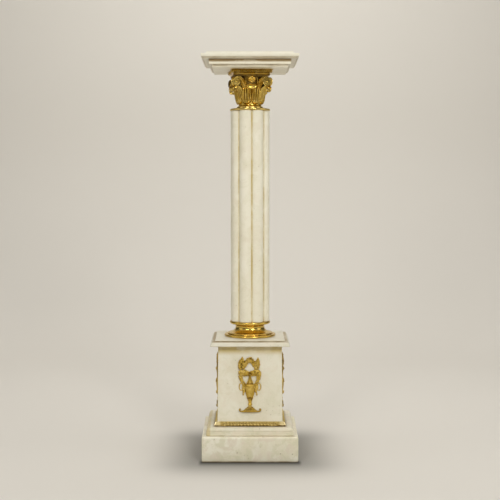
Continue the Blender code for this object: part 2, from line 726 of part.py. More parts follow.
def main():
    for item in list(bpy.data.objects):
        bpy.data.objects.remove(item)
    step_foot = make_plinth(0.0) + JOINT_GAP
    die_foot = make_step(step_foot) + JOINT_GAP
    cap_foot = make_die(die_foot) + JOINT_GAP
    make_borders(die_foot)
    make_mounts(die_foot)
    base_foot = make_cap(cap_foot) + JOINT_GAP
    shaft_foot = make_column_base(base_foot) + JOINT_GAP
    neck_foot = make_shaft(shaft_foot) + JOINT_GAP
    capital_foot = make_neck_ring(neck_foot) + JOINT_GAP
    under_foot = make_capital(capital_foot) + JOINT_GAP
    top_foot = make_under_slab(under_foot) + JOINT_GAP
    make_top_slab(top_foot)


main()
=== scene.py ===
import math
from functools import reduce

import bmesh
import bpy
import numpy as np
from mathutils import Matrix, Vector, noise


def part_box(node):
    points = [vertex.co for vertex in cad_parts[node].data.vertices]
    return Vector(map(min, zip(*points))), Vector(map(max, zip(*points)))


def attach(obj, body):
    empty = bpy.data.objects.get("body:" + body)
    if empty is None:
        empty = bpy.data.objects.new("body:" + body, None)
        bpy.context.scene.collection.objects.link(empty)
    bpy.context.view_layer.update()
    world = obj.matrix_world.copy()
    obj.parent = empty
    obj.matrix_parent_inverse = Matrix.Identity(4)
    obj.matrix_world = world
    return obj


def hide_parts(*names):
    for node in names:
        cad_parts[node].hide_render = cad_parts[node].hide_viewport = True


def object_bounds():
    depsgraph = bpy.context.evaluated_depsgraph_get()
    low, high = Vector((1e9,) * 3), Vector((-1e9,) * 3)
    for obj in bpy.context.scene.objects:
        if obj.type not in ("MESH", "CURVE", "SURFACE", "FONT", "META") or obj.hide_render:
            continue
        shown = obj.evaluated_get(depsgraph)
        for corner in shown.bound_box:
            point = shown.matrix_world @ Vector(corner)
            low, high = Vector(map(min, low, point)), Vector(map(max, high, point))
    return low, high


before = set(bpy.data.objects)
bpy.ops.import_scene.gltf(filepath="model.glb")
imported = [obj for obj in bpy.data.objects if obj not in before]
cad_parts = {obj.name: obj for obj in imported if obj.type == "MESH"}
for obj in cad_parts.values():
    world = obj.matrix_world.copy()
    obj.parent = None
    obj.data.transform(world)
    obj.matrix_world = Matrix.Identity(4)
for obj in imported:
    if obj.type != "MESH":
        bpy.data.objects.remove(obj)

# Column pedestal in cream marble and gilt bronze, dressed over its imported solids.
# Metres, +Z up, front towards -Y. Sizes repeat the ones the solids were made from.

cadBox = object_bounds()
mm = 0.001  # for values written in millimetres
percent = 0.01
reeds = 8
columnTurn = math.radians(6.0)  # the shaft and its capital stand slightly turned on the blocks
quarters = {"front": 0, "right": 1, "back": 2, "left": 3}
upward = np.array([0.0, 0.0, 1.0])


# Shader and geometry nodes

class Wire:
    # A socket that takes part in arithmetic: each operation adds its Math node
    def __init__(self, graph, socket):
        self.graph = graph
        self.socket = socket

    def __abs__(self):
        return self.graph.maths("ABSOLUTE", self)

    def __add__(self, other):
        return self.graph.maths("ADD", self, other)

    def __sub__(self, other):
        return self.graph.maths("SUBTRACT", self, other)

    def __rsub__(self, other):
        return self.graph.maths("SUBTRACT", other, self)

    def __mul__(self, other):
        return self.graph.maths("MULTIPLY", self, other)

    def __truediv__(self, other):
        return self.graph.maths("DIVIDE", self, other)

    def __rtruediv__(self, other):
        return self.graph.maths("DIVIDE", other, self)

    def __pow__(self, other):
        return self.graph.maths("POWER", self, other)

    __radd__ = __add__
    __rmul__ = __mul__


class Graph:
    # Adds nodes to one tree, for shading or for geometry
    def __init__(self, tree):
        self.tree = tree
        self.colour = None

    def node(self, kind, settings=None, values=None, output=0):
        item = self.tree.nodes.new(kind)
        for key, value in (settings or {}).items():
            setattr(item, key, value)
        for key, value in (values or {}).items():
            if isinstance(value, Wire):
                self.tree.links.new(value.socket, item.inputs[key])
            else:
                item.inputs[key].default_value = value
        return Wire(self, item.outputs[output])

    def maths(self, operation, first, second=0.0):
        return self.node("ShaderNodeMath", {"operation": operation}, {0: first, 1: second})

    def largest(self, *values):
        return reduce(lambda a, b: self.maths("MAXIMUM", a, b), values)

    def clamp(self, value, low=0.0, high=1.0):
        return self.maths("MINIMUM", self.maths("MAXIMUM", value, low), high)

    def step(self, value, low, high):
        # 0 below low, 1 above high, smooth between
        settings = {"interpolation_type": "SMOOTHSTEP"}
        return self.node("ShaderNodeMapRange", settings, {0: value, 1: low, 2: high, 3: 0.0, 4: 1.0})

    def paint(self, factor, colour, blend="MIX"):
        # Lays a colour over the one the graph has so far
        ends = [(*v, 1.0) if isinstance(v, tuple) else v for v in (self.colour, colour)]
        settings = {"data_type": "RGBA", "blend_type": blend}
        self.colour = self.node("ShaderNodeMix", settings, {0: factor, 6: ends[0], 7: ends[1]}, 2)

    def noise(self, place, scale, detail=4.0, roughness=0.55, distortion=0.0):
        values = {"Vector": place, "Scale": scale, "Detail": detail, "Roughness": roughness,
                  "Distortion": distortion}
        return self.node("ShaderNodeTexNoise", None, values, "Fac")

    def place(self, kind="Object"):
        return self.node("ShaderNodeTexCoord", None, None, kind)

    def axes(self, vector):
        return [self.node("ShaderNodeSeparateXYZ", None, {0: vector}, k) for k in range(3)]

    def vector(self, x=0.0, y=0.0, z=0.0):
        return self.node("ShaderNodeCombineXYZ", None, {0: x, 1: y, 2: z})

    def form(self, kind, values=None, output=0, **settings):
        return self.node("GeometryNode" + kind, settings, values, output)

    def sphere(self, sides, rings):
        return self.form("MeshUVSphere", {"Segments": sides, "Rings": rings, "Radius": 1.0}, "Mesh")

    def instances(self, points, item, **more):
        return self.form("InstanceOnPoints", {"Points": points, "Instance": item, **more})

    def join(self, *parts):
        whole = self.tree.nodes.new("GeometryNodeJoinGeometry")
        for part in parts:
            self.tree.links.new(part.socket, whole.inputs[0])
        return Wire(self, whole.outputs[0])


def newMaterial(name):
    material = bpy.data.materials.new(name)
    material.use_nodes = True
    material.node_tree.nodes.clear()
    return material, Graph(material.node_tree)


def finishMaterial(graph, roughness, bump=None, strength=0.0, distance=0.0, **more):
    values = {"Base Color": graph.colour, "Roughness": roughness, **more}
    if bump is not None:
        relief = {"Strength": strength, "Distance": distance, "Height": bump}
        values["Normal"] = graph.node("ShaderNodeBump", None, relief)
    shader = graph.node("ShaderNodeBsdfPrincipled", None, values)
    leave = graph.tree.nodes.new("ShaderNodeOutputMaterial")
    graph.tree.links.new(shader.socket, leave.inputs["Surface"])


marbleLook = {
    "pale": (0.850, 0.815, 0.680),
    "warm": (0.765, 0.715, 0.545),
    "cool": (0.680, 0.650, 0.460),
    # The two brown colours below paint dirt and stains and also painted shade
    "stainAndShade": (0.330, 0.235, 0.110),
    "wash": (0.550, 0.410, 0.110),
    "pink": (0.790, 0.710, 0.560),
    "speck": (0.300, 0.200, 0.120),
    "roughness": 0.34,
}


def marble(name, mottling, shadeAndDirtBands=(), grooves=0.0, seed=0.0, tint="stainAndShade", leftShade=None, ring=None,
           tone=1.0):
    # Cream marble, darker in bands of (height, reach, strength) round given heights: dirt at some joints,
    # painted shade under overhangs and at the foot; grooves is how dark the reeding is
    look = marbleLook
    material, graph = newMaterial(name)
    step = graph.step
    place = graph.place()
    shift = (seed, seed * 0.7, seed * 1.3)
    moved = graph.node("ShaderNodeMapping", None, {"Vector": place, "Location": shift})
    x, y, z = graph.axes(place)
    cloud = graph.noise(moved, 7.0, 5.0, 0.6, 0.8)
    mottle = graph.noise(moved, 30.0, 7.0, 0.66, 0.7)
    blush = graph.noise(moved, 19.0, 5.0, 0.62, 0.6)
    fine = graph.noise(moved, 230.0, 3.0, 0.6)
    wander = graph.noise(moved, 11.0, 6.0, 0.65, 1.4)
    vein = 1.0 - step(abs(wander - 0.5), 0.0, 0.022)
    graph.colour = look["pale"]
    graph.paint(step(cloud, 0.38, 0.66) * mottling, look["warm"])
    graph.paint(step(mottle, 0.47, 0.60) * mottling * 0.50, look["cool"])
    graph.paint(vein * step(cloud, 0.45, 0.6) * mottling * 0.55, look["cool"])
    graph.paint(step(fine, 0.35, 0.75) * 0.10, look["warm"])
    graph.paint(1.0, (tone, tone, tone), "MULTIPLY")
    graph.paint(step(blush, 0.48, 0.62) * mottling * 0.6, look["pink"])
    cells = {"Vector": moved, "Scale": 85.0, "Randomness": 1.0}
    speck = 1.0 - step(graph.node("ShaderNodeTexVoronoi", None, cells, "Distance"), 0.05, 0.17)
    speck = speck * step(mottle, 0.50, 0.58)
    graph.paint(speck * mottling * 0.8, look["speck"])
    # Dirt and painted shade: each mask below darkens the colour towards the brown colour
    dirtAndShade = []
    for height, reach, strength in shadeAndDirtBands:
        patch = step(graph.noise(moved, 24.0), 0.34, 0.60) * 0.45 + 0.55
        dirtAndShade.append((1.0 - step(abs(z - height), reach * 0.4, reach)) * patch * strength)
    if grooves:
        halfReed = math.pi / reeds
        fromGroove = graph.maths("PINGPONG", graph.maths("ARCTAN2", y, x) - columnTurn,
                                 halfReed) / halfReed
        patch = step(graph.noise(moved, 9.0, 5.0, 0.7), 0.36, 0.64) * 0.75 + 0.25
        dirtAndShade.append((1.0 - step(fromGroove, 0.0, 0.21)) * grooves * patch)
    if ring:
        # Dirt and painted shadow along the foot of a square frame that stands on the block
        half, reach, strength = ring
        dirtAndShade.append((1.0 - step(graph.largest(abs(x), abs(y)) - half, 0.0, reach)) * strength)
    if leftShade:
        # Painted shade over the left end of a block, the side turned away from the key light
        start, strength = leftShade
        patch = step(graph.noise(moved, 18.0), 0.30, 0.60) * 0.4 + 0.6
        graph.paint(step(0.0 - x, start, start + 0.006) * patch * strength, look["wash"])
    if dirtAndShade:
        graph.paint(graph.largest(*dirtAndShade), look[tint])
    grain = fine * 0.35 + mottle * 0.4 - speck * 0.9
    rough = look["roughness"] + fine * 0.10 + speck * 0.2
    finishMaterial(graph, rough, grain, 0.16, 0.0006, IOR=1.48)
    return material


giltLook = {
    "bright": (0.90, 0.68, 0.22),
    "gold": (0.60, 0.40, 0.072),
    "brown": (0.12, 0.058, 0.010),
    "cornerHighlight": (0.90, 0.80, 0.50),
    "reach": 0.0050,
}


def gilt(name, bright, dark, roughness, pale=giltLook["gold"], hollows=True, reach=giltLook["reach"],
         ground=None, foot=None, corners=None):
    # Fire-gilt bronze: gold with brighter patches, brown and dull in its hollows
    look = giltLook
    material, graph = newMaterial(name)
    step = graph.step
    place = graph.place()
    x, y, z = graph.axes(place)
    patch = graph.noise(place, 60.0, 5.0, 0.6, 0.4)
    fine = graph.noise(place, 900.0, 3.0, 0.6)
    graph.colour = pale
    graph.paint(step(patch, 0.40, 0.70) * bright, look["bright"])
    graph.paint(step(fine, 0.52, 0.75) * 0.25, look["brown"])
    rough = roughness + patch * 0.10 + fine * 0.08
    hollow = 0.0
    if hollows:
        settings = {"only_local": True, "samples": 8}
        openness = graph.node("ShaderNodeAmbientOcclusion", settings, {"Distance": reach}, "AO")
        hollow = 1.0 - step(openness, 0.25, 0.85)
        graph.paint(hollow * dark, look["brown"])
        rough = rough + hollow * 0.18
    if ground:
        # Old patina on the plain ground above this height, behind the raised work
        graph.paint(step(z, ground - 0.006, ground) * 0.75, look["brown"])
    if corners:
        # Painted highlight: paler where the leaves fold over the corners of a square
        near = step(graph.maths("MINIMUM", abs(x), abs(y)), corners - 0.008, corners)
        graph.paint(near * (1.0 - hollow) * 0.55, look["cornerHighlight"])
    if foot:
        # Darker and duller below a height: settled dirt and painted shade
        height, strength = foot
        footDirtAndShade = (1.0 - step(z, height - 0.004, height)) * (step(patch, 0.30, 0.62) * 0.4 + 0.15)
        footDirtAndShade = graph.clamp(footDirtAndShade * strength)
        graph.paint(footDirtAndShade, look["brown"])
        rough = rough + footDirtAndShade * 0.15
    finishMaterial(graph, rough, fine * 0.5 + patch, 0.10, 0.0004, Metallic=1.0)
    return material


marbles = {
    # Plinth: painted contact shade along its foot, and painted shade over its left end
    "plinth": marble("marblePlinth", 1.35, ((0.0, 0.0060, 0.9),), seed=0.3, leftShade=(0.1395, 0.35),
                     tone=1.05),
    # Step: darker lines at the foot and the top of its face; dirt and painted shadow round the foot of the
    # border; painted shade over its left slope
    "plinth_step": marble("marbleStep", 1.1, ((0.0752, 0.0030, 0.7), (0.0902, 0.0014, 0.35)), seed=1.1,
                          leftShade=(0.1145, 0.60), ring=(0.1049, 0.0085, 0.95), tone=0.96),
    # Die: painted shade with a brown stain below the overhang of the cap
    "die": marble("marbleDie", 0.60, ((0.3392, 0.0310, 0.85),), seed=2.3, tint="wash"),
    "die_cap": marble("marbleCap", 0.45, ((0.3526, 0.0020, 0.95), (0.3393, 0.0016, 0.5)), seed=3.7,
                      tone=0.88),
    "shaft": marble("marbleShaft", 0.5, grooves=0.95, seed=4.9, tint="wash", tone=1.04),
    # Under slab: painted shade with a brown stain in the joint under the top slab, and painted shade along
    # the small step at its foot
    "under_slab": marble("marbleUnder", 0.4, ((1.1616, 0.0044, 0.62), (1.1800, 0.0115, 1.35)), seed=5.3,
                         tone=1.05),
    # Top slab: painted shade with a brown stain along its lower edge
    "top_slab": marble("marbleTop", 0.3, ((1.1819, 0.0027, 0.70),), seed=6.1, tone=0.94),
}
castGilt = gilt("giltCast", 0.75, 0.97, 0.15, (0.67, 0.46, 0.094))
abacusGilt = gilt("giltAbacus", 0.45, 0.97, 0.18, (0.50, 0.30, 0.042), foot=(1.1455, 1.6))
bellGilt = gilt("giltBell", 0.65, 0.97, 0.14, (0.58, 0.38, 0.066), reach=0.0085, ground=1.1085)
turnedGilt = gilt("giltTurned", 0.40, 0.5, 0.15, (0.70, 0.47, 0.095), hollows=False)
neckGilt = gilt("giltNeck", 0.45, 0.5, 0.15, (0.72, 0.53, 0.17), hollows=False)
reliefGilt = gilt("giltRelief", 0.66, 0.90, 0.32, reach=0.0036, foot=(0.1585, 1.0))
# Border: dirt and painted shadow along its foot, painted highlight on its corner leaves
borderGilt = gilt("giltBorder", 0.26, 0.85, 0.33, (0.60, 0.46, 0.17), reach=0.0028, foot=(0.1042, 2.0),
                  corners=0.0920)
print("materials ready")


# Mesh building

class Shape:
    # Gathers points and faces of one piece
    def __init__(self):
        self.points = []
        self.faces = []
        self.count = 0

    def add(self, points, faces):
        self.points.append(np.asarray(points, float).reshape(-1, 3))
        self.faces.extend([tuple(k + self.count for k in face) for face in faces])
        self.count += len(self.points[-1])

    def grid(self, rings, closed=False):
        # Rings of points, with a face over each end unless the last ring joins the first
        grid = np.asarray(rings, float)
        rows, columns = grid.shape[:2]
        faces = []
        for r in range(rows if closed else rows - 1):
            here = r * columns
            below = (r + 1) % rows * columns
            for c in range(columns):
                after = (c + 1) % columns
                faces.append((here + c, here + after, below + after, below + c))
        if not closed:
            faces.append(tuple(range(columns - 1, -1, -1)))
            faces.append(tuple(range((rows - 1) * columns, rows * columns)))
        self.add(grid, faces)

    def merge(self, other, place=Matrix()):
        self.add(transform(np.concatenate(other.points), place), other.faces)

    def piece(self, name, node, slotName, material, place, sharp):
        # Makes the finished mesh and puts it in the place of one solid
        mesh = bpy.data.meshes.new(name)
        mesh.from_pydata(transform(np.concatenate(self.points), place).tolist(), [], self.faces)
        tidy = bmesh.new()
        tidy.from_mesh(mesh)
        bmesh.ops.recalc_face_normals(tidy, faces=tidy.faces)
        tidy.to_mesh(mesh)
        tidy.free()
        mesh.materials.append(material)
        mesh.shade_smooth()
        mesh.set_sharp_from_angle(angle=math.radians(sharp))
        piece = addObject(name, mesh)
        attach(piece, "root")
        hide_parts(node)


def transform(points, place):
    matrix = np.array(place)
    return points @ matrix[:3, :3].T + matrix[:3, 3]


def standing(node, turn=0.0):
    # The place of a solid's foot, turned about the upright through the middle
    return Matrix.Translation((0.0, 0.0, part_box(node)[0].z)) @ Matrix.Rotation(turn, 4, "Z")


def addObject(name, data):
    item = bpy.data.objects.new(name, data)
    bpy.context.scene.collection.objects.link(item)
    return item


def stepsFrom(x, y, *steps):
    # Places given as steps in millimetres from one place
    return [(x + a * mm, y + b * mm) for a, b in steps]


def arc(start, end, steps, level=False):
    # A quarter curve in (half width, height) that leaves its start upright, or level
    angles = np.linspace(0.0, math.pi / 2, steps + 1)
    shares = [1.0 - np.cos(angles), np.sin(angles)]
    across, up = reversed(shares) if level else shares
    return [(start[0] + (end[0] - start[0]) * a, start[1] + (end[1] - start[1]) * b)
            for a, b in zip(across, up)]


def bulge(radius, bottom, top, out, steps):
    # A rounded edge between two heights
    middle = (bottom + top) / 2
    return [(radius - out + out * math.cos(a), middle + (top - bottom) / 2 * math.sin(a))
            for a in np.linspace(-math.pi / 2, math.pi / 2, steps + 1)]


def curve(points, steps):
    # A Catmull-Rom curve through the given points
    points = np.asarray(points, float)
    knots = np.vstack([2 * points[0] - points[1], points, 2 * points[-1] - points[-2]])
    path = []
    for a, b, c, d in zip(knots, knots[1:], knots[2:], knots[3:]):
        for k in range(steps):
            t = k / steps
            path.append(0.5 * (2 * b + (c - a) * t + (2 * a - 5 * b + 4 * c - d) * t * t
                               + (3 * b - a - 3 * c + d) * t ** 3))
    path.append(points[-1])
    return np.array(path)


def spread(values, count):
    return np.interp(np.linspace(0, 1, count), np.linspace(0, 1, len(values)), values)


def sweep(path, across, wide, deep, section):
    # Rings along a path: section is a closed loop of (across, out) places, the same or one for each ring
    count = len(path)
    ahead = np.gradient(path, axis=0)
    ahead /= np.linalg.norm(ahead, axis=1)[:, None]
    across = np.broadcast_to(np.asarray(across, float), path.shape)
    across = across - (across * ahead).sum(1)[:, None] * ahead
    across = across / np.linalg.norm(across, axis=1)[:, None]
    out = np.cross(ahead, across)
    section = np.asarray(section, float)
    section = np.broadcast_to(section, (count, *section.shape[-2:]))
    wide = np.broadcast_to(wide, count)[:, None, None] * section[:, :, :1]
    deep = np.broadcast_to(deep, count)[:, None, None] * section[:, :, 1:]
    return path[:, None, :] + across[:, None, :] * wide + out[:, None, :] * deep


def around(count):
    return np.arange(count) * 2 * math.pi / count


def roundSection(sides):
    return np.stack([np.cos(around(sides)), np.sin(around(sides))], axis=1)


def circle(centre, right, up, radius, turns):
    # Points round a centre in the plane of two directions, with one radius or one for each turn
    return centre + np.outer(radius * np.cos(turns), right) + np.outer(radius * np.sin(turns), up)


def quarterTurn(quarter):
    return Matrix.Rotation(quarter * math.pi / 2, 4, "Z")


def band(u, front, back, trim=0):
    # A closed section from its front and back lines across u
    lower = np.stack([u, np.broadcast_to(back, u.shape)], axis=1)[::-1]
    return np.concatenate([np.stack([u, front], axis=1), lower[trim:len(u) - trim]])


def polar(radius, angle, height):
    return np.array([radius * math.cos(angle), radius * math.sin(angle), height])


# Camera, floor and light

def addCamera():
    data = bpy.data.cameras.new("viewCamera")
    data.lens = 74.39
    data.sensor_width = 36.0
    data.clip_end = 60.0
    camera = addObject("viewCamera", data)
    camera.location = (0.0, -3.1355, 0.8139)
    camera.rotation_euler = (math.radians(86.42), 0.0, 0.0)
    bpy.context.scene.camera = camera


studio = {
    "floorColour": (0.72, 0.692, 0.640),
    "grainColour": (0.67, 0.64, 0.585),
    "shadeColour": (0.02, 0.02, 0.018),
    "wallHalf": 1.9, "wallTop": 6.0, "floorReach": 30.0, "curveStart": 1.6, "curveSize": 1.2,
    "worldColour": (0.86, 0.83, 0.78), "lightColour": (1.0, 0.985, 0.95),
    "horizon": 0.09,
    "overhead": 0.55,
    # Painted shadow on the floor round the foot and along the front: its strength and reach
    "shade": 0.56, "shadeReach": 0.115, "frontShade": 0.78, "frontReach": 0.026,
}
# Place, size, power and aim of each light
lamps = {
    "key": ((1.30, -3.0, 2.2), 0.75, 33.0, (0, 0, 0.75)),
    "fill": ((-1.25, -3.0, 2.1), 0.75, 24.0, (0, 0, 0.75)),
    "right": ((3.2, -0.7, 1.5), 1.7, 12.0, (0, 0, 0.8)),
    "left": ((-3.2, -0.7, 1.5), 1.7, 8.0, (0, 0, 0.8)),
    "top": ((0.2, -0.4, 3.4), 2.2, 16.0, (0, 0.2, 0.5)),
    "back": ((0.0, 1.1, 2.7), 1.8, 23.0, (0, 2.8, 0.3)),
    "low": ((0.3, -3.6, 0.30), 1.6, 10.0, (0, 0, 1.0)),
}


def addStudio():
    # A pale sweep: level floor, then a soft curve up to a wall
    edge = studio["wallHalf"]
    reach = studio["floorReach"]
    start = studio["curveStart"]
    size = studio["curveSize"]
    profile = [(-reach, 0.0), (start, 0.0)]
    profile += [(start + size * math.sin(a), size - size * math.cos(a))
                for a in np.linspace(0.1, math.pi / 2, 16)]
    profile.append((start + size, studio["wallTop"]))
    points = [(x, y, z) for x in (-edge, edge) for y, z in profile]
    count = len(profile)
    faces = [(k, k + count, k + count + 1, k + 1) for k in range(count - 1)]
    # The floor runs on past both ends of the wall
    corners = ((edge, -reach), (reach, -reach), (reach, reach), (edge, reach))
    for side in (-1, 1):
        first = len(points)
        points += [(side * x, y, 0.0) for x, y in corners]
        faces.append(tuple(range(first, first + 4))[::side])
    mesh = bpy.data.meshes.new("studioSweep")
    mesh.from_pydata(points, [], faces)
    mesh.shade_smooth()
    mesh.materials.append(studioPaper())
    addObject("studioSweep", mesh)
    for name, (place, size, power, aim) in lamps.items():
        data = bpy.data.lights.new(name + "Light", "AREA")
        data.size = size
        data.energy = power
        data.color = studio["lightColour"]
        lamp = addObject(name + "Light", data)
        lamp.location = place
        lamp.rotation_euler = (Vector(aim) - lamp.location).to_track_quat("-Z", "Y").to_euler()
    world = bpy.data.worlds.new("studioAir")
    world.use_nodes = True
    air = Graph(world.node_tree)
    height = air.axes(air.place("Generated"))[2]
    strength = air.step(height, 0.25, 0.85) * studio["overhead"] + studio["horizon"]
    sky = world.node_tree.nodes["Background"]
    sky.inputs["Color"].default_value = (*studio["worldColour"], 1.0)
    world.node_tree.links.new(strength.socket, sky.inputs["Strength"])
    bpy.context.scene.world = world
    bpy.context.scene.view_settings.view_transform = "Standard"


def studioPaper():
    # The floor grows dim towards the foot of the object, as it does in the picture
    material, graph = newMaterial("studioPaper")
    place = graph.place()
    half = (cadBox[1].x - cadBox[0].x) / 2
    x, y = graph.axes(place)[:2]
    pastX = graph.largest(abs(x) - half, 0.0)
    pastY = graph.largest(abs(y) - half, 0.0)
    away = graph.maths("SQRT", pastX * pastX + pastY * pastY) / studio["shadeReach"]
    front = graph.largest(-1.0 * y - half, 0.0) / studio["frontReach"]
    wide = graph.maths("EXPONENT", -1.0 * away ** 2) * studio["shade"]
    close = graph.maths("EXPONENT", -1.0 * front ** 2) * studio["frontShade"]
    close = close * (1.0 - graph.step(pastX, 0.0, 0.012)) * graph.step(-1.0 * y, half - 0.03, half)
    graph.colour = studio["floorColour"]
    graph.paint(graph.noise(place, 3.0, 2.0) * 0.15, studio["grainColour"])
    # Painted shadow: the floor's colour darkens round the foot of the object and along its front edge
    graph.paint(wide + close * (1.0 - wide), studio["shadeColour"])
    finishMaterial(graph, 0.85)
    return material


addCamera()
addStudio()
print("camera and studio ready")

# Capital

capitalLook = {
    "height": 0.1053,
    "footRadius": 0.0336, "midRadius": 0.0448, "headRadius": 0.0490,
    "lobeDepth": 0.0041, "ribDepth": 0.0034, "leafRowTop": 0.56,
    "voluteRadius": 0.0148, "voluteReach": 0.0840, "voluteWidth": 0.0056, "voluteShare": 0.646,
    "voluteTurns": 1.45, "voluteLean": 19.0, "eyeRadius": 0.0046,
    "abacusWidth": 0.1274, "soffitWidth": 0.1090, "abacusHeight": 0.0187, "bandHeight": 0.0097,
    "abacusHollow": 0.0025, "cornerCut": 0.0070,
    "eggCount": 9, "eggWidth": 0.0080,
    "shellRadius": 0.0118, "shellShare": 0.72,
}


def bellRadius(height):
    look = capitalLook
    share = height / look["height"]
    return np.interp(share, [0.0, 0.52, 1.0], [look["footRadius"], look["midRadius"], look["headRadius"]])


def smooth(value, low, high):
    t = np.clip((value - low) / (high - low), 0.0, 1.0)
    return t * t * (3 - 2 * t)


def bellShape(shape):
    # The bell, with two ribbed leaf lobes on each face that are round at their feet
    look = capitalLook
    shares = np.concatenate([np.linspace(0.0, 0.34, 56), np.linspace(0.35, 0.86, 44)])
    share, angle = np.meshgrid(shares, around(480), indexing="ij")
    offset = np.mod(angle, math.pi / 4) / (math.pi / 8) - 1.0
    side = np.abs(offset)
    foot = 0.018 + 0.125 * (1 - np.sqrt(np.clip(1 - side ** 2, 0, 1)))
    top = look["leafRowTop"]
    body = np.clip(1 - side ** 2.6, 0, 1) ** 0.55
    ribs = np.abs(np.cos(offset * math.pi * 2.5)) ** 0.8 * smooth(share, foot + 0.05, foot + 0.12)
    rise = smooth(share, foot, foot + 0.05) * (1 - smooth(share, top - 0.12, top))
    rim = np.exp(-(np.clip(share - foot - 0.035, 0, None) / 0.060) ** 2) * 0.62
    depth = rise * (look["lobeDepth"] * body * (1.0 + rim) + look["ribDepth"] * ribs)
    # A small pointed leaf between the lobes, in the middle of each face
    dartTop = 0.36
    face = np.abs(np.mod(angle + math.pi / 4, math.pi / 2) - math.pi / 4)
    dart = np.clip(1 - face / (0.085 * np.clip((dartTop - share) / 0.20, 0, 1) + 1e-6), 0, 1)
    dart = dart * smooth(share, 0.12, 0.15) * (share < dartTop)
    depth = np.maximum(depth, 0.0034 * dart ** 0.6)
    collar = 0.0008 * np.exp(-((share - 0.015) / 0.012) ** 2)
    radius = bellRadius(share * look["height"]) + depth + collar
    shape.grid(np.stack([radius * np.cos(angle), radius * np.sin(angle), share * look["height"]], axis=2))


def leafSection(count, ribs, strength):
    # Across a leaf of unit thickness: fluted on both sides, with a midrib in front
    u = np.linspace(1.0, -1.0, count)
    wave = strength * np.cos(ribs * math.pi * u)
    body = np.clip(1 - u ** 8, 0, 1)
    front = (0.46 + 0.48 * wave) * body + strength * 0.35 * np.exp(-(u / 0.13) ** 2)
    return band(u, front, -(0.60 - 0.40 * wave) * body, 1)


def leafShape(shape, spots, angle, halfWidths, thickness, lobes, hollow, plainFrom=1.2):
    # A leaf through (radius, height) spots in one upright plane, all lengths in millimetres.
    # Its flutes fade out before the share plainFrom of its length.
    path = np.array([polar(r * mm, angle, z * mm) for r, z in curve(spots, 10)])
    count = len(path)
    along = np.linspace(0, 1, count)
    edge = 1.0 - 0.16 * np.abs(np.sin(along * math.pi * lobes)) ** 3 * smooth(along, 0.05, 0.2)
    fluting = 1.0 - smooth(along, plainFrom - 0.2, plainFrom)
    sections = np.array([leafSection(37, 5.0, strength) for strength in fluting])
    bend = hollow * np.sin(along * math.pi)[:, None] * sections[:, :, 0] ** 2
    sections[:, :, 1] = (sections[:, :, 1] * thickness + bend) * mm
    across = polar(-1.0, angle + math.pi / 2, 0.0)
    shape.grid(sweep(path, across, spread(halfWidths, count) * edge * mm, 1.0, sections))


def voluteShape(shape, corner, sign):
    # One of the two scrolls that meet at a corner, turned towards the face on its own side
    look = capitalLook
    outer = look["voluteRadius"]
    lean = corner - sign * math.radians(look["voluteLean"])
    out = polar(1.0, lean, 0.0)
    side = polar(1.0, lean + math.pi / 2, 0.0)
    tip = polar(look["voluteReach"], corner, look["height"] * look["voluteShare"])
    centre = tip - out * outer + side * sign * 0.0004
    t = np.linspace(0, 1, int(look["voluteTurns"] * 44))
    turn = math.radians(122) - t * look["voluteTurns"] * 2 * math.pi
    path = circle(centre, out, upward, (outer - 0.0019) * (1 - t) + look["eyeRadius"] * t, turn)
    u = np.linspace(1, -1, 13)
    channel = band(u, 0.60 + 0.40 * np.abs(u) ** 3, -0.8)
    half = look["voluteWidth"] / 2
    shape.grid(sweep(path, side, half * (1.0 + 0.15 * t), 0.0019 * (1 - 0.25 * t), channel))
    # The web closes the scroll behind its rims, and an eye stands at its middle
    web = [(0.0006, 0.0012), (0.0070, 0.0012), (outer - 0.0022, 0.0016)]
    web += [(reach, -lift) for reach, lift in web[::-1]]
    eye = [(look["eyeRadius"] * math.cos(a), (half + 0.0012) * math.sin(a))
           for a in np.linspace(-1.45, 1.45, 13)]
    for profile in (web, eye):
        shape.grid([circle(centre + side * lift, out, upward, reach, around(40)) for reach,
                    lift in profile])


def voluteCore(shape, corner):
    # The rolled band that fills the wedge between the two scrolls of a corner
    look = capitalLook
    out = polar(1.0, corner, 0.0)
    side = polar(1.0, corner + math.pi / 2, 0.0)
    radius = look["voluteRadius"] - 0.0016
    centre = polar(look["voluteReach"] - look["voluteRadius"] - 0.0010, corner,
                   look["height"] * look["voluteShare"])
    turns = around(48)
    # The wedge is thin at the corner and wide towards the bell
    wide = 0.0016 + 0.0046 * (0.5 - 0.5 * np.cos(turns))
    half = [(0.2, -1.0), (0.9, -1.0), (1.0, -0.8), (0.93, -0.3)]
    profile = half + [(share, -lift) for share, lift in half[::-1]]
    shape.grid([circle(centre, out, upward, share * radius, turns) + np.outer(wide * lift, side)
                for share, lift in profile])


def wound(spots, angle, sign, steps):
    # A curve through (radius, degrees, height) places, with lengths in millimetres
    return curve([polar(r * mm, angle + sign * math.radians(a), z * mm) for r, a, z in spots], steps)


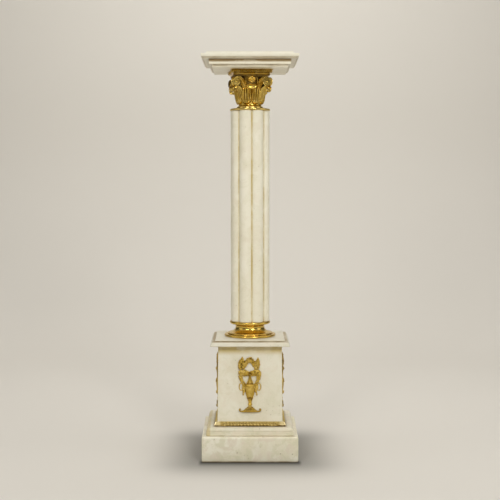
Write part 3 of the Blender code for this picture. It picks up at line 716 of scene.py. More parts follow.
def stemShape(shape, corner, sign):
    # A channelled stem from beside the middle of a face up on to the top of a volute
    look = capitalLook
    eye = (look["voluteReach"] - look["voluteRadius"]) / mm
    crown = (look["height"] * look["voluteShare"] + look["voluteRadius"]) / mm - 1.7
    spots = [(41.8, 26.0, 34.0), (44.5, 23.0, 44.0), (48.8, 19.0, 56.0), (54.8, 14.0, 69.0),
             (61.2, 8.6, 78.2), (eye - 3.5, 3.8, crown - 0.2), (eye + 2.0, 3.0, crown - 0.4)]
    path = wound(spots, corner, sign, 8)
    count = len(path)
    outward = path * (1.0 - upward) + np.outer(np.linspace(0.0, 0.09, count), upward)
    across = np.cross(outward, np.gradient(path, axis=0))
    u = np.linspace(1, -1, 25)
    channel = band(u, 0.30 + 0.62 * np.cos(2 * math.pi * u) + 0.25 * np.abs(u) ** 6, -1.0)
    shape.grid(sweep(path, across, spread([3.4, 5.6, 6.6, 6.6, 5.4, 4.0, 3.4], count) * mm,
                     spread([1.6, 2.6, 2.8, 2.6, 2.0], count) * mm, channel))
    # A thin inner scroll that leaves the stem and curls under the abacus
    spots = [(44.0, -6.0, 48.0), (47.5, -6.0, 60.0), (50.0, -6.0, 71.0), (51.2, -5.0, 78.0),
             (51.4, -1.0, 81.2), (51.6, 2.6, 79.0), (51.8, 1.8, 75.8), (51.8, -0.4, 76.8)]
    path = wound(spots, corner + sign * math.radians(31.0), sign, 7)
    count = len(path)
    across = np.cross(np.gradient(path, axis=0), path * (1.0 - upward))
    shape.grid(sweep(path, across, spread([1.0, 1.6, 1.5, 1.4, 1.2], count) * mm,
                     spread([1.4, 2.4, 2.6, 2.6, 2.4], count) * mm, roundSection(8)))


def rosette(shape, centre, right, up, radius, depth, wave, narrowing, swelling, profile):
    # A shell or a flower: rings of (share of the radius, share of the depth), waved outside its heart
    heart = 0.35
    out = np.cross(right, up)
    turns = around(len(wave))
    rings = []
    for share, lift in profile:
        waved = share > heart
        reach = radius * share * (1 - narrowing * (1 - wave) * waved)
        rise = depth * lift * (1 + swelling * (wave - 0.5) * waved)
        rings.append(circle(centre, right, up, reach, turns) + np.outer(rise, out))
    shape.grid(rings)


def shellShape(shape, angle):
    # A fan shell in the middle of a face, with nine flutes and a scalloped rim
    look = capitalLook
    z = look["height"] * look["shellShare"]
    centre = polar(bellRadius(z) - 0.002, angle, z)
    flutes = 0.5 + 0.5 * np.cos(around(108) * 9)
    profile = [(1.0, 0.0), (1.0, 0.42), (0.93, 0.66), (0.78, 0.78), (0.58, 0.80), (0.40, 0.74),
               (0.30, 0.72), (0.26, 0.92), (0.18, 1.02), (0.08, 1.06), (0.02, 1.06)]
    side = polar(1.0, angle + math.pi / 2, 0.0)
    rosette(shape, centre, side, upward, look["shellRadius"], 0.0092, flutes, 0.10, 0.20, profile)


def squareRing(x, y, height):
    # Repeats one side's points on the four sides
    return np.concatenate([np.stack([x * c - y * s, x * s + y * c, np.full(len(x), height)], axis=1)
                           for c, s in ((1, 0), (0, 1), (-1, 0), (0, -1))])


def abacusShape(shape):
    # A square plate with slightly hollowed sides and cut corners, over a hollow and a fillet
    look = capitalLook
    top = look["height"]
    low = top - look["abacusHeight"]
    bandFoot = top - look["bandHeight"]
    soffit = look["soffitWidth"] / 2
    wide = look["abacusWidth"] / 2
    profile = stepsFrom(soffit, low, (-10.0, 0), (0, 0), (0, 1.2), (-1.2, 1.4), (-1.2, 2.2), (0.6, 2.6),
                        (0.6, 3.8))
    profile += arc((soffit - 0.0004, low + 0.0040), (wide - 0.0034, bandFoot - 0.0004), 8)
    profile += stepsFrom(wide, bandFoot, (-3.0, 0), (-3.0, 0.8), (-4.2, 1.4))
    profile += stepsFrom(wide, top, (-4.2, -2.2), (-0.8, -1.8), (0, -1.4), (0, -0.4), (-0.4, 0))
    share = np.linspace(-1, 1, 25)
    hollow = look["abacusHollow"] * (1 - share ** 2)
    cut = look["cornerCut"]
    shape.grid([squareRing((half - cut) * share, hollow - half, height) for half, height in profile])


def growMesh(name, sizes, build, material):
    # Runs a Geometry Nodes tree with named inputs and keeps its result as a plain shape
    tree = bpy.data.node_groups.new(name + "Nodes", "GeometryNodeTree")
    graph = Graph(tree)
    tree.interface.new_socket("Geometry", in_out="OUTPUT", socket_type="NodeSocketGeometry")
    for label, value in sizes.items():
        kind = "NodeSocketInt" if isinstance(value, int) else "NodeSocketFloat"
        tree.interface.new_socket(label, in_out="INPUT", socket_type=kind)
    entry = tree.nodes.new("NodeGroupInput")
    result = build(graph, {label: Wire(graph, entry.outputs[label]) for label in sizes})
    result = graph.form("RealizeInstances", {0: result})
    result = graph.form("SetMaterial", {"Geometry": result, "Material": material})
    leave = tree.nodes.new("NodeGroupOutput")
    tree.links.new(result.socket, leave.inputs[0])
    item = addObject(name, bpy.data.meshes.new(name))
    modifier = item.modifiers.new("grow", "NODES")
    modifier.node_group = tree
    for socket in tree.interface.items_tree:
        if socket.in_out == "INPUT":
            modifier[socket.identifier] = sizes[socket.name]
    bpy.context.view_layer.update()
    mesh = bpy.data.meshes.new_from_object(item.evaluated_get(bpy.context.evaluated_depsgraph_get()))
    bpy.data.objects.remove(item)
    shape = Shape()
    points = [tuple(vertex.co) for vertex in mesh.vertices]
    shape.add(points, [tuple(face.vertices) for face in mesh.polygons])
    return shape


def rowOf(graph, sizes):
    # Points along X at an even pitch, with their middle at the origin
    pitch = sizes["Length"] / sizes["Count"]
    start = graph.vector(sizes["Length"] * -0.5 + pitch * 0.5)
    values = {"Count": sizes["Count"], "Start Location": start, "Offset": graph.vector(pitch)}
    return graph.form("MeshLine", values, "Mesh", mode="OFFSET"), pitch


def eggRow(graph, sizes):
    # Eggs in their rims with a dart between each pair, along X and standing out towards -Y
    spots, pitch = rowOf(graph, sizes)
    width = sizes["Egg width"]
    height = sizes["Egg height"]
    squash = graph.vector(width * 0.34, sizes["Egg depth"], height * 0.46)
    egg = graph.form("Transform", {0: graph.sphere(14, 8), "Scale": squash})
    hoop, wire = (graph.form("CurvePrimitiveCircle", {"Resolution": sides, "Radius": radius},
                             mode="RADIUS")
                  for sides, radius in ((20, 1.0), (6, width * 0.085)))
    hoop = graph.form("Transform", {0: hoop, "Rotation": (math.pi / 2, 0.0, 0.0)})
    hoop = graph.form("Transform", {0: hoop, "Scale": graph.vector(width * 0.48, 1.0, height * 0.56)})
    rim = graph.form("CurveToMesh", {"Curve": hoop, "Profile Curve": wire, "Fill Caps": False})
    sharp = {"Vertices": 8, "Radius Top": width * 0.05, "Radius Bottom": width * 0.16, "Depth": height}
    dart = graph.form("Transform", {0: graph.form("MeshCone", sharp, "Mesh"), "Rotation": (math.pi, 0.0,
                                                                                           0.0),
                                    "Translation": graph.vector(pitch * 0.5, 0.0, height * 0.5)})
    return graph.join(graph.instances(spots, graph.join(egg, rim)), graph.instances(spots, dart))


def makeCapital():
    look = capitalLook
    place = standing("capital", columnTurn)
    bell, leaves, scrolls, shells, abacus = (Shape() for k in range(5))
    bellShape(bell)
    cornerWidths = [8.8, 11.2, 11.8, 10.8, 9.0, 6.6, 4.8]
    cornerSpots = [(40.0, 20.0), (45.5, 30.0), (50.0, 38.5), (56.5, 47.0), (65.0, 52.0), (71.5, 50.0),
                   (72.2, 44.0), (68.0, 41.5), (65.5, 44.0)]
    faceWidths = [8.0, 11.0, 13.5, 14.0, 13.6, 12.4]
    faceSpots = [(44.0, 34.0), (47.2, 45.0), (50.0, 53.5), (53.5, 58.8), (58.2, 57.6), (61.2, 54.2),
                 (62.0, 49.4), (59.0, 47.0)]
    for quarter in range(4):
        face = quarter * math.pi / 2
        corner = face + math.pi / 4
        leafShape(leaves, cornerSpots, corner, cornerWidths, 3.4, 5, -4.0)
        leafShape(leaves, faceSpots, face, faceWidths, 2.8, 3, -1.5, 0.62)
        voluteCore(scrolls, corner)
        for sign in (-1, 1):
            voluteShape(scrolls, corner, sign)
            stemShape(scrolls, corner, sign)
        shellShape(shells, face)
    abacusShape(abacus)
    sizes = {"Length": look["abacusWidth"] - 2 * look["cornerCut"] - 0.002, "Count": look["eggCount"],
             "Egg width": look["eggWidth"], "Egg height": look["bandHeight"] * 0.62, "Egg depth": 0.0034}
    eggs = growMesh("eggRow", sizes, eggRow, castGilt)
    half = look["abacusWidth"] / 2 - 0.0040
    middle = look["height"] - look["bandHeight"] * 0.54
    for points in eggs.points:
        points[:, 1] += look["abacusHollow"] * (1 - (points[:, 0] / half) ** 2)
    for quarter in range(4):
        abacus.merge(eggs, quarterTurn(quarter) @ Matrix.Translation((0.0, -half, middle)))
    for name, shape, material, sharp in (
            ("Bell", bell, bellGilt, 50.0), ("Leaves", leaves, castGilt, 50.0),
            ("Volutes", scrolls, castGilt, 45.0), ("Shells", shells, castGilt, 60.0),
            ("Abacus", abacus, abacusGilt, 40.0)):
        shape.piece("capital" + name, "capital", "gilt_bronze", material, place, sharp)
    print("capital ready")


makeCapital()


# Shaft

shaftLook = {"Radius": 0.0602, "Height": 0.6342, "Reeds": reeds, "Reed share": 0.354, "End round": 0.0022}


def reededShaft(graph, sizes):
    # A cylinder whose points move out to round reeds and draw in at both ends
    rows = 56
    ends = 6
    values = {"Vertices": sizes["Reeds"] * 20, "Side Segments": rows, "Radius": 1.0, "Depth": 1.0}
    tube = graph.form("MeshCylinder", values, "Mesh")
    x, y, z = graph.axes(graph.form("InputPosition"))
    angle = graph.maths("ARCTAN2", y, x)
    wedge = 2 * math.pi / sizes["Reeds"]
    local = graph.maths("FLOORED_MODULO", angle, wedge) - wedge * 0.5
    share = sizes["Reed share"]
    sine = (1.0 - share) * graph.maths("SINE", local)
    outline = (1.0 - share) * graph.maths("COSINE", local) + graph.maths("SQRT", share ** 2 - sine * sine)
    level = (z + 0.5) * rows
    fromFoot = graph.clamp(level / ends) * (math.pi / 2)
    fromHead = graph.clamp((rows - level) / ends) * (math.pi / 2)
    edge = graph.maths("SINE", graph.maths("MINIMUM", fromFoot, fromHead))
    rounding = sizes["End round"]
    rise = 1.0 - graph.maths("COSINE", fromFoot) + graph.maths("COSINE", fromHead)
    middle = graph.clamp((level - ends) / (rows - 2 * ends))
    height = rounding * rise + middle * (sizes["Height"] - rounding * 2.0)
    reach = graph.maths("SQRT", x * x + y * y)
    radius = outline * (sizes["Radius"] - rounding * (1.0 - edge)) * graph.maths("GREATER_THAN", reach,
                                                                                 0.5)
    moved = graph.vector(graph.maths("COSINE", angle) * radius, graph.maths("SINE", angle) * radius,
                         height)
    return graph.form("SetPosition", {"Geometry": tube, "Position": moved})


def makeShaft():
    material = marbles["shaft"]
    shape = growMesh("shaft", shaftLook, reededShaft, material)
    shape.piece("shaftReeded", "shaft", "marble", material, standing("shaft", columnTurn), 50.0)
    print("shaft ready")


makeShaft()


# Turned bronze rings

turnedLook = {"segments": 144, "baseRim": 0.0615, "torus": 0.0776, "step": 0.0684, "waist": 0.0438,
              "neckFlange": 0.0610, "neckFoot": 0.0440, "neckBand": 0.0405, "neckCollar": 0.0365}


def lathe(profile):
    turns = around(turnedLook["segments"])
    shape = Shape()
    shape.grid([circle(upward * z, (1, 0, 0), (0, 1, 0), radius, turns) for radius, z in profile])
    return shape


def makeTurned():
    look = turnedLook
    base = bulge(look["torus"], 0.0, 0.0066, 0.0033, 16)
    base += bulge(look["step"], 0.0068, 0.0104, 0.0014, 8)
    base += stepsFrom(look["step"], 0.0, (-3.4, 10.6), (-4.0, 11.2))
    base += arc((look["step"] - 0.0044, 0.0114), (look["waist"], 0.0285), 26, True)[1:]
    base += arc((look["waist"], 0.0298), (look["baseRim"] - 0.0026, 0.0376), 13)[1:]
    base += bulge(look["baseRim"], 0.0380, 0.0455, 0.0026, 14)
    neck = bulge(look["neckFlange"], 0.0, 0.0064, 0.0032, 14)
    neck += [(look["neckFlange"] - 0.0046, 0.0065), (look["neckFoot"] + 0.0006, 0.0068)]
    neck += arc((look["neckFoot"], 0.0068), (look["neckBand"], 0.0084), 8, True)
    shoulder = stepsFrom(look["neckBand"], 0.0, (0, 8.6), (-0.2, 10.2), (-1.0, 11.9), (-2.7, 13.4))
    neck += list(curve(shoulder + [(look["neckCollar"], 0.0145)], 5))
    lathe(base).piece("columnBase", "column_base", "gilt_bronze", turnedGilt, standing("column_base"),
                      35.0)
    lathe(neck).piece("neckRing", "neck_ring", "gilt_bronze", neckGilt, standing("neck_ring"), 35.0)
    print("turned rings ready")


makeTurned()


# Marble blocks: rounding of the corners, wear and chips in millimetres, and a seed

blockLook = {
    "plinth": (3.5, 0.5, 3.0, 3.1), "plinth_step": (1.6, 0.3, 1.8, 7.7), "die": (1.2, 0.2, 0.8, 1.9),
    "die_cap": (0.8, 0.2, 1.2, 5.2), "under_slab": (1.0, 0.2, 0.8, 9.4), "top_slab": (1.2, 0.2, 0.8, 4.4),
}


def pushIn(points, half, wear, chip, seed):
    # Wears a block inward: broad waviness everywhere and small losses along its edges
    moved = points.copy()
    for k, point in enumerate(points):
        x, y = point[:2]
        wave = 0.5 + 0.5 * noise.noise(Vector(point) * 22.0 + Vector((seed, seed, seed)))
        rough = max(0.0, noise.noise(Vector(point) * 90.0 + Vector((seed * 3, 0.0, 0.0))) - 0.25)
        edge = 1.0 if max(abs(x), abs(y)) > half - 0.004 else 0.3
        inward = (wave * wear + rough * chip * edge) * mm
        moved[k, :2] -= point[:2] / max(math.hypot(x, y), 1e-4) * inward
    return moved


def blockShape(profile, corner, wear, chip, seed):
    # Rings of a square with rounded corners, one for each (half width, height) of the profile
    corner = corner * mm
    turns = np.radians(np.arange(-75.0, 0.0, 15.0))
    rings = []
    for half, height in profile:
        run = half - corner
        x = np.concatenate([np.linspace(-run, run, 45), run + corner * np.cos(turns)])
        y = np.concatenate([np.full(45, -half), corner * np.sin(turns) - run])
        rings.append(squareRing(x, y, height))
    grid = np.array(rings)
    worn = pushIn(grid.reshape(-1, 3), max(half for half, height in profile), wear, chip, seed)
    shape = Shape()
    shape.grid(worn.reshape(grid.shape))
    return shape


def filled(profile, gap):
    # Adds places where two of a profile's are further apart than gap
    result = [profile[0]]
    for a, b in zip(profile, profile[1:]):
        count = max(1, int(math.hypot(b[0] - a[0], b[1] - a[1]) / gap))
        for k in range(1, count + 1):
            result.append((a[0] + (b[0] - a[0]) * k / count, a[1] + (b[1] - a[1]) * k / count))
    return result


def makeBlocks():
    plinth = stepsFrom(0.1425, 0.0, (-3.0, 0), (-0.6, 1.2), (0, 3.4))
    plinth += arc((0.1425, 0.0707), (0.1380, 0.0752), 8)
    step = stepsFrom(0.1293, 0.0, (-0.4, 0), (0, 0.6), (0, 13.9), (-0.8, 14.5))
    step += arc((0.1281, 0.0147), (0.1185, 0.0235), 10)
    die = [(0.0968, 0.0)] + stepsFrom(0.0946, 0.2397, (0, -0.8), (-0.8, 0))
    cap = stepsFrom(0.1177, 0.0, (-0.4, 0), (0, 0.4), (0, 2.0), (-0.4, 2.6), (-5.5, 12.0), (-5.9, 12.4))
    cap += stepsFrom(0.1032, 0.0, (0.2, 12.5), (-0.6, 12.9), (-1.0, 13.4), (-0.6, 14.0), (-0.1, 14.6),
                     (0, 16.2))
    cap += arc((0.1032, 0.0162), (0.1020, 0.0174), 4)
    under = stepsFrom(0.1106, 0.0, (-0.2, 0), (0, 0.3), (0, 5.6), (-0.4, 6.0), (4.9, 6.0))
    under += arc((0.1157, 0.0060), (0.1195, 0.0100), 8, True)
    under += stepsFrom(0.1195, 0.0, (0, 21.4), (-0.4, 21.8))
    slab = arc((0.1325, 0.0), (0.1380, 0.0038), 8, True)
    slab += bulge(0.1420, 0.0040, 0.0134, 0.0018, 12)
    slab += arc((0.1388, 0.0137), (0.1258, 0.0190), 8, True)
    slab += stepsFrom(0.1256, 0.0, (0, 19.2), (-0.2, 20.0), (-0.8, 20.2))
    for (node, look), profile in zip(blockLook.items(), (plinth, step, die, cap, under, slab)):
        name = "block" + "".join(part.capitalize() for part in node.split("_"))
        block = blockShape(filled(profile, 0.006), *look)
        block.piece(name, node, "marble", marbles[node], standing(node), 32.0)
    print("blocks ready")


makeBlocks()


# Leaf border round the foot of the die

borderLook = {"Length": 0.1500, "Count": 15, "Height": 0.0100, "Depth": 0.0024}
borderPlace = {"inner": 0.0971, "reach": 0.0078, "height": 0.0133}


def borderLeaves(graph, sizes):
    # A row of upright leaves with a midrib and small buds between them, along X and facing -Y
    spots, pitch = rowOf(graph, sizes)
    height = sizes["Height"]
    x, y, z = graph.axes(graph.form("InputPosition"))
    # Leaf outline: full below, narrower above, with lobed sides, slanting veins and a raised midrib
    taper = 1.0 - graph.clamp(z) ** 2 * 0.45
    lobes = 0.80 + 0.20 * graph.maths("COSINE", z * 11.0)
    rib = graph.maths("COSINE", graph.clamp(abs(x) * 9.0, 0.0, math.pi)) * 0.30
    veins = graph.maths("COSINE", (abs(x) * 0.9 - z) * 13.0) * 0.26
    relief = y * (1.0 + (rib + veins) * graph.maths("GREATER_THAN", 0.05, y))
    moved = graph.vector(x * taper * lobes * pitch * 0.46, relief * sizes["Depth"], z * height * 0.5)
    leaf = graph.form("SetPosition", {"Geometry": graph.sphere(24, 18), "Position": moved})
    bud = graph.form("MeshIcoSphere", {"Radius": 1.0, "Subdivisions": 2}, "Mesh")
    size = graph.vector(pitch * 0.13, sizes["Depth"] * 0.9, height * 0.24)
    place = graph.vector(pitch * 0.5, 0.0, height * 0.24)
    bud = graph.form("Transform", {0: bud, "Scale": size, "Translation": place})
    return graph.join(graph.instances(spots, leaf), graph.instances(spots, bud))


def cornerLeaf(shape, sign):
    # A broad plain leaf folded over the mitre at one end of a strip
    end = borderPlace["inner"] + borderPlace["reach"] * 0.5 - 0.0004
    rings = []
    for t in np.linspace(0.0, 1.0, 19):
        half = 0.0052 * math.cos(math.pi / 2 * t ** 1.6) + 0.0004
        turns = around(24)
        z = half * np.cos(turns)
        groove = 0.0007 * np.cos(3 * math.pi * np.cos(turns)) * (np.sin(turns) > 0)
        out = 0.0026 * (1.15 - 0.5 * t) * np.sin(turns) + groove
        rings.append(np.stack([sign * (end - z * 0.55 - 0.026 * t), -out, z], axis=1))
    shape.grid(rings)


def makeBorders():
    inner = borderPlace["inner"]
    section = [(0.0, 0.0)]
    section += stepsFrom(borderPlace["reach"], 0.0, (-0.4, 0), (0, 0.4), (0, 1.6), (-0.6, 2.2),
                         (-1.2, 2.4))
    section += stepsFrom(0.0, 0.0, (5.8, 4.2), (4.6, 6.4), (3.4, 8.8), (2.2, 10.4), (2.2, 10.8))
    section += [(0.0010 + 0.0014 * math.cos(a), 0.0119 + 0.0013 * math.sin(a))
                for a in np.linspace(-0.9, math.pi / 2, 7)]
    section.append((0.0, borderPlace["height"] - 0.0001))
    strip = Shape()
    strip.grid([[(share * (inner + out - 0.0003), -inner - out, z) for out, z in section]
                for share in np.linspace(-1.0, 1.0, 61)])
    slope = math.atan2(4.4, 8.0)
    middle = Matrix.Translation((0.0, -inner - 0.0046, 0.0064)) @ Matrix.Rotation(-slope, 4, "X")
    strip.merge(growMesh("borderLeaves", borderLook, borderLeaves, borderGilt), middle)
    ends = Shape()
    for sign in (1, -1):
        cornerLeaf(ends, sign)
    strip.merge(ends, middle)
    for side, quarter in quarters.items():
        place = quarterTurn(quarter) @ standing("border_front")
        strip.piece("border" + side.capitalize(), "border_" + side, "pale_gilt", borderGilt, place, 45.0)
    print("borders ready")


makeBorders()


# Urn mounts: places are per cent of the half width and of the height, other lengths millimetres

mountLook = {"height": 0.1660, "width": 0.0660, "depth": 8.0, "lift": 0.0415, "face": 0.0971,
             "slope": math.atan2(0.0022, 0.2397)}
garlandLook = {"Leaf length": 0.0056, "Leaf width": 0.0032, "Spread": 0.0036}
garlandLeaf = {"sides": 6, "rings": 5}


def onMount(across, up, out=0.0):
    x = across * percent * mountLook["width"] / 2
    return np.array([x, -out * mm, up * percent * mountLook["height"]])


def mirrored(sign, *spots):
    return [(sign * across, *rest) for across, *rest in spots]


def reliefTurned(shape, profile, depth, sides=30, gadroons=0, across=0.0):
    # Half of a turned form, flattened to the depth of the relief, with a flat back
    widest = max(r for r, z in profile)
    turns = np.linspace(math.pi, 2 * math.pi, max(sides, gadroons * 10 + 1))
    lobes = 1.0 - 0.22 * np.abs(np.sin(turns * gadroons)) ** 4
    rings = []
    for r, z in profile:
        x = across + r * lobes * np.cos(turns)
        out = -r * lobes / widest * depth * np.sin(turns)
        rings.append(onMount(x, np.full(len(turns), z), out).T)
    shape.grid(rings)


def reliefBar(shape, spots, thickness, steps=6, sides=10, lift=0.5):
    # A round bar through places of the mount; lift is how far its thickness raises its middle
    path = curve([onMount(*spot) for spot in spots], steps)
    thick = spread(thickness, len(path)) * mm
    path[:, 1] -= thick * lift
    across = np.cross(np.gradient(path, axis=0), [0.0, 1.0, 0.0])
    shape.grid(sweep(path, across, thick / 2, thick / 2, roundSection(sides)))


def reliefLeaf(shape, foot, tip, width, bend, lobes, depth):
    # A pointed spray with lobed edges, a midrib and slanting veins
    middle = ((foot[0] + tip[0]) / 2 + bend, (foot[1] + tip[1]) / 2)
    path = curve([onMount(*spot) for spot in (foot, middle, tip)], 24)
    t = np.linspace(0, 1, len(path))
    half = width * mm / 2 * np.clip(np.sin(math.pi * t ** 0.80), 0, 1) ** 0.62 + 0.0003
    half = half * (0.87 + 0.13 * np.cos(2 * math.pi * lobes * t))
    across = np.cross(np.gradient(path, axis=0), [0.0, 1.0, 0.0])
    u = np.linspace(1, -1, 21)
    crown = 0.55 * (1 - u ** 2) ** 0.6 + 0.30 * np.exp(-(u / 0.12) ** 2)
    sections = []
    for share in t:
        veins = 0.16 * np.cos(2 * math.pi * (lobes * share - 0.9 * np.abs(u))) * (1 - u ** 6)
        ends = min(1.0, 0.35 + 2.5 * share, 0.35 + 2.5 * (1 - share))
        sections.append(band(u, (crown + veins + 0.10) * ends, -0.05))
    shape.grid(sweep(path, across, half, depth * mm, sections))


def flower(shape, across, up, radius, petals, depth):
    # An open flower with a raised heart
    petal = np.abs(np.cos(around(petals * 12) * petals / 2)) ** 0.7
    profile = [(1.0, 0.0), (1.0, 0.30), (0.90, 0.55), (0.70, 0.72), (0.48, 0.62), (0.34, 0.48),
               (0.30, 0.80), (0.20, 1.0), (0.08, 1.05)]
    place = onMount(across, up)
    rosette(shape, place, (1, 0, 0), (0, 0, 1), radius * mm, depth * mm, petal, 0.28, 0.25, profile)


def loopHandle(shape, across, up, wide, tall, thick):
    a, b = np.meshgrid(around(40), around(10), indexing="ij")
    grow = thick / 2 * np.cos(b)
    out = thick / 2 * np.sin(b) - thick * 0.6
    loop = np.stack([(wide + grow) * np.cos(a), out, (tall + grow) * np.sin(a)], axis=2)
    shape.grid(onMount(across, up) + loop * mm, closed=True)


def garlandNodes(graph, sizes):
    # Small leaves set thickly and at random round a straight stem; bent to each garland afterwards
    ends = {"Count": sizes["Leaves"], "Start Location": (0.0, 0.0, 0.0), "Offset": (1.0, 0.0, 0.0)}
    spots = graph.form("MeshLine", ends, "Mesh", mode="END_POINTS")

    def chance(low, high, salt, kind="FLOAT"):
        # The node keeps the ends of a vector in its first two inputs and those of a number in the next two
        first = 0 if kind == "FLOAT_VECTOR" else 2
        values = {first: low, first + 1: high, 8: sizes["Seed"] + salt}
        return graph.node("FunctionNodeRandomValue", {"data_type": kind}, values, first // 2)

    turn = chance(0.0, math.pi, 1.0)
    scatter = graph.vector(0.0, graph.maths("SINE", turn) * sizes["Spread"] * -0.6,
                           graph.maths("COSINE", turn) * sizes["Spread"])
    moved = graph.form("SetPosition", {"Geometry": spots, "Offset": scatter})
    size = graph.vector(sizes["Leaf length"] * 0.5, sizes["Leaf width"] * 0.28, sizes["Leaf width"] * 0.5)
    ball = graph.sphere(garlandLeaf["sides"], garlandLeaf["rings"])
    leaf = graph.form("Transform", {0: ball, "Scale": size})
    tilt = chance((-0.5, -1.3, -0.6), (0.5, 1.3, 0.6), 2.0, "FLOAT_VECTOR")
    return graph.instances(moved, leaf, Rotation=tilt, Scale=chance(0.75, 1.25, 3.0))


def addGarland(shape, spots, count, thickness, seed):
    # Bends a straight garland along places of the mount. Its stem is one metre long and its leaves
    # have their full size, so that each leaf is carried along whole.
    path = curve([onMount(*spot) for spot in spots], 12)
    length = np.concatenate([[0.0], np.cumsum(np.linalg.norm(np.diff(path, axis=0), axis=1))])
    sizes = {"Leaves": count, **garlandLook, "Seed": seed}
    straight = growMesh("garland", sizes, garlandNodes, reliefGilt)
    leafPoints = garlandLeaf["sides"] * (garlandLeaf["rings"] - 1) + 2
    out = np.array([0.0, -1.0, 0.0])

    def along(values, share):
        lines = [np.interp(share * length[-1], length, line) for line in values.T]
        return np.stack(lines, axis=1)[:, None]

    for points in straight.points:
        leaves = points.reshape(-1, leafPoints, 3)
        middle = leaves.mean(axis=1, keepdims=True)
        t = np.clip(middle[:, 0, 0], 0, 1)
        ahead = along(np.gradient(path, axis=0), t)
        ahead /= np.linalg.norm(ahead, axis=2)[:, :, None]
        side = np.cross(out, ahead)
        thick = np.interp(t, np.linspace(0, 1, len(thickness)), thickness) * mm
        grow = (thick / (2 * garlandLook["Spread"]))[:, None, None]
        inside = leaves - middle
        offset = middle * grow + inside
        bent = inside[:, :, :1] * ahead - offset[:, :, 1:2] * out + offset[:, :, 2:] * side
        leaves[:] = along(path, t) + bent + out * 0.0012
    shape.merge(straight)


def urnShape(shape):
    # Foot plate with upturned ends, spreading foot, knops, body, rim and lid
    depth = mountLook["depth"]
    plate = [(90, 0), (92, 0.2), (92, 1.1), (90, 1.3), (84, 1.35), (80, 1.6), (66, 2.0)]
    slope = [(80, 0.8), (76, 1.8), (64, 2.7), (55, 3.7), (50, 4.8), (40, 5.2)]
    mound = [(38, 4.4), (44, 5.0), (43, 6.2), (36, 7.3), (27, 7.8)]
    knop = [(16, 6.4), (16, 7.4), (27, 7.8), (30, 8.5), (27, 9.2), (17, 9.6), (15, 11.0), (15.5, 12.8),
            (20, 13.4),
            (21.5, 14.0), (20, 14.7), (15, 15.1), (14, 16.6), (15, 18.2), (17, 19.0), (15, 19.8),
            (13, 20.3)]
    body = [(13, 19.8), (18, 20.4), (20, 21.2), (26, 24.5), (33, 29.0), (40, 34.5), (44, 40.0),
            (45.5, 45.0), (46, 46.6)]
    rim = [(40, 46.2), (48, 46.6), (50.5, 47.4), (50.5, 48.2), (47, 48.8), (46, 49.2), (49, 49.8),
           (49, 50.6), (40, 51.0), (28, 51.6), (20, 52.6)]
    lid = [(20, 52.4), (17, 54.5), (12, 57.5), (8, 60.5), (7, 64.0), (8, 66.8)]
    reliefTurned(shape, plate, 7.0)
    reliefTurned(shape, slope, 5.8, gadroons=11)
    reliefTurned(shape, mound, 6.2, gadroons=7)
    reliefTurned(shape, knop, 5.8)
    reliefTurned(shape, [(6, 19.6)] + list(curve(body, 4)), depth * 0.96, 40)
    reliefTurned(shape, rim, depth, 40)
    reliefTurned(shape, curve(lid, 3), 3.0)
    lidEdge = [(27, 52.0, 2.0), (21, 54.5, 2.0), (14, 58.0, 2.0), (8.5, 61.5, 2.0), (6, 65.5, 2.0)]
    scroll = [(62, 1.6), (80, 1.4), (92, 2.6), (95, 4.6), (90, 5.8), (85, 4.8), (88, 4.0)]
    for sign in (-1, 1):
        reliefBar(shape, mirrored(sign, *lidEdge), [3.4, 3.4, 3.0, 2.6, 2.6], 5)
    for sign in (-1, 1):
        reliefBar(shape, mirrored(sign, *scroll), [3.0, 4.4, 4.6, 4.2, 3.4, 2.6, 1.8])
    # Swags under the rim, beads on it, and the small flower low on the body
    for x in (-36, -18, 0, 18, 36):
        swag = [(x - 9, 47.0, 7.2), (x - 4.5, 45.6, 8.0), (x, 45.0, 8.2), (x + 4.5, 45.6, 8.0),
                (x + 9, 47.0, 7.2)]
        reliefBar(shape, swag, [1.2, 2.0, 2.4, 2.0, 1.2], 4, 8, 0.0)
    for x in np.linspace(-44.0, 44.0, 11):
        flower(shape, x, 48.8, 1.5, 4, depth * math.sqrt(1 - (x / 50.5) ** 2) + 0.8)
    flower(shape, 0, 26.2, 4.2, 6, 8.0)
    for sign in (-1, 1):
        reliefLeaf(shape, (sign * 2, 20.5), (sign * 24, 29.0), 6.0, sign * 6, 3, 7.0)


def wreathShape(shape):
    # Rosette, garland and arch, with flowers on them
    flower(shape, 0, 69.0, 7.4, 8, 9.8)
    garland = [(-92, 73.5), (-78, 72.2), (-56, 71.2), (-30, 69.8), (0, 69.0), (28, 69.8), (52, 71.2),
               (70, 72.2), (84, 73.5)]
    arch = [(-52, 71.2), (-53, 76.0), (-46, 82.0), (-32, 88.5), (-4, 94.5), (20, 90.0), (34, 83.0),
            (42, 77.0), (41, 71.2)]
    reliefBar(shape, garland, [4.0, 8.0, 9.0, 7.0, 6.0, 7.0, 9.0, 8.0, 4.0], 6, 12, 0.10)
    reliefBar(shape, arch, [3.2, 2.8, 2.6, 4.4, 8.0, 6.0, 3.2, 2.8, 3.2], 6, 10, 0.20)
    addGarland(shape, garland, 230, [8.0, 15.0, 16.5, 13.0, 11.0, 13.0, 15.5, 15.0, 8.0], 3)
    addGarland(shape, arch[2:7], 130, [4.0, 9.0, 15.0, 11.0, 4.0], 11)
    for x, z, size in ((-22, 90.5, 4.2), (0, 94.5, 4.6), (17, 90.5, 4.2), (-54, 72.2, 5.0),
                       (50, 72.4, 4.6), (-80, 71.2, 4.4), (76, 71.2, 4.2), (-34, 66.8, 3.6)):
        flower(shape, x, z, size, 5, 7.0)


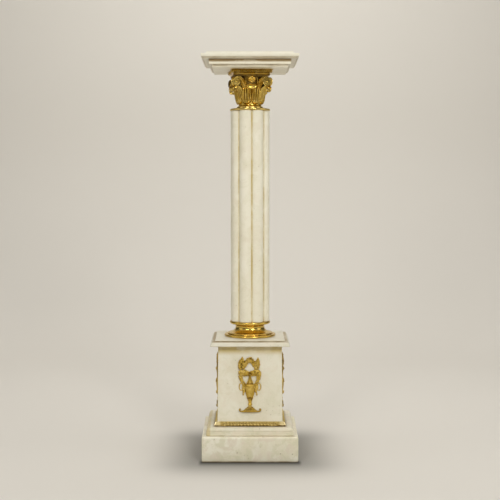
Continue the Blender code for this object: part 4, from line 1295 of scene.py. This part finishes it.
def wingShape(shape):
    # Leaf wings: small leaves set thickly, with larger ones over them
    left = [(-72, 78.5), (-76, 83.0), (-74, 88.0), (-70, 95.0)]
    right = [(58, 78.5), (62, 83.0), (66, 88.0), (70, 94.5)]
    addGarland(shape, left, 110, [16.0, 20.0, 17.0, 6.0], 41)
    addGarland(shape, right, 80, [12.0, 15.0, 12.0, 5.0], 43)
    for leaf in (
            ((-56, 77.0), (-70, 99.8), 15.0, -6, 6, 5.2), ((-60, 80.0), (-99, 93.0), 11.0, -6, 4, 6.0),
            ((-56, 81.5), (-100, 80.0), 13.0, 0, 4, 5.2), ((-60, 85.0), (-44, 93.0), 9.0, 0, 3, 5.6),
            ((46, 77.0), (72, 98.5), 13.0, 8, 6, 5.2), ((50, 80.0), (86, 91.5), 9.0, 5, 4, 5.8),
            ((46, 81.0), (82, 79.5), 10.5, 0, 3, 5.0), ((52, 85.0), (42, 92.5), 7.0, 0, 3, 5.4)):
        reliefLeaf(shape, *leaf)
    for x, z in ((-66, 90), (-74, 85), (-62, 84), (-84, 83), (60, 88), (66, 84), (58, 82)):
        flower(shape, x, z, 2.8, 4, 6.6)


def sideShape(shape, sign, end):
    # One side drop with its link to the shoulder, the hanging below, a loop handle and a tassel
    drop = mirrored(sign, (end + 2, 74.0), (end, 69.0), (end - 2, 64.0), (end - 6, 59.0),
                    (end - 16, 54.5), (60, 50.0))
    hanging = mirrored(sign, (58, 51.0), (57, 46.0), (55, 41.0), (57, 36.5), (60, 34.5))
    tassel = [(1.2, 35.2), (5.0, 34.5), (6.6, 33.0), (6.0, 31.2), (3.6, 30.2), (1.0, 29.8)]
    reliefBar(shape, drop, [3.4, 4.6, 4.4, 4.2, 4.0, 3.6])
    addGarland(shape, drop[:5], 84, [7.0, 12.0, 10.4, 7.6, 5.4], 20 + sign)
    link = mirrored(sign, (end - 6, 58.5), (60, 55.6), (46, 52.0), (38, 49.4))
    reliefBar(shape, link, [4.0, 3.4, 3.4, 3.6])
    reliefBar(shape, hanging, [3.6, 4.0, 4.0, 3.2, 2.6])
    addGarland(shape, hanging[:4], 44, [5.6, 8.0, 8.0, 5.0], 30 + sign)
    reliefBar(shape, mirrored(sign, (47, 50.0), (45, 45.0), (43, 39.0)), [3.6, 4.0, 2.6])
    loopHandle(shape, sign * 81, 45.7, 5.2, 10.6, 2.8)
    reliefTurned(shape, tassel, 4.6, 16, across=sign * 61)


def makeMounts():
    look = mountLook
    shape = Shape()
    urnShape(shape)
    wreathShape(shape)
    wingShape(shape)
    sideShape(shape, -1, 86)
    sideShape(shape, 1, 80)
    for part in shape.points:
        part[:, 1] = np.minimum(part[:, 1], 0.0)
    lean = Matrix.Translation((0.0, -look["face"], 0.0)) @ Matrix.Rotation(-look["slope"], 4, "X")
    place = standing("die") @ lean @ Matrix.Translation((0.0, 0.0, look["lift"]))
    for side, quarter in quarters.items():
        name = "urnMount" + side.capitalize()
        shape.piece(name, "urn_mount_" + side, "gilt_bronze", reliefGilt, quarterTurn(quarter) @ place,
                    55.0)
    print("urn mounts ready", len(shape.faces))


makeMounts()


for nodeName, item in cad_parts.items():
    look = marbles.get(nodeName, castGilt)
    if nodeName.startswith("border"):
        look = borderGilt
    item.data.materials.clear()
    item.data.materials.append(look)
print("solids dressed")
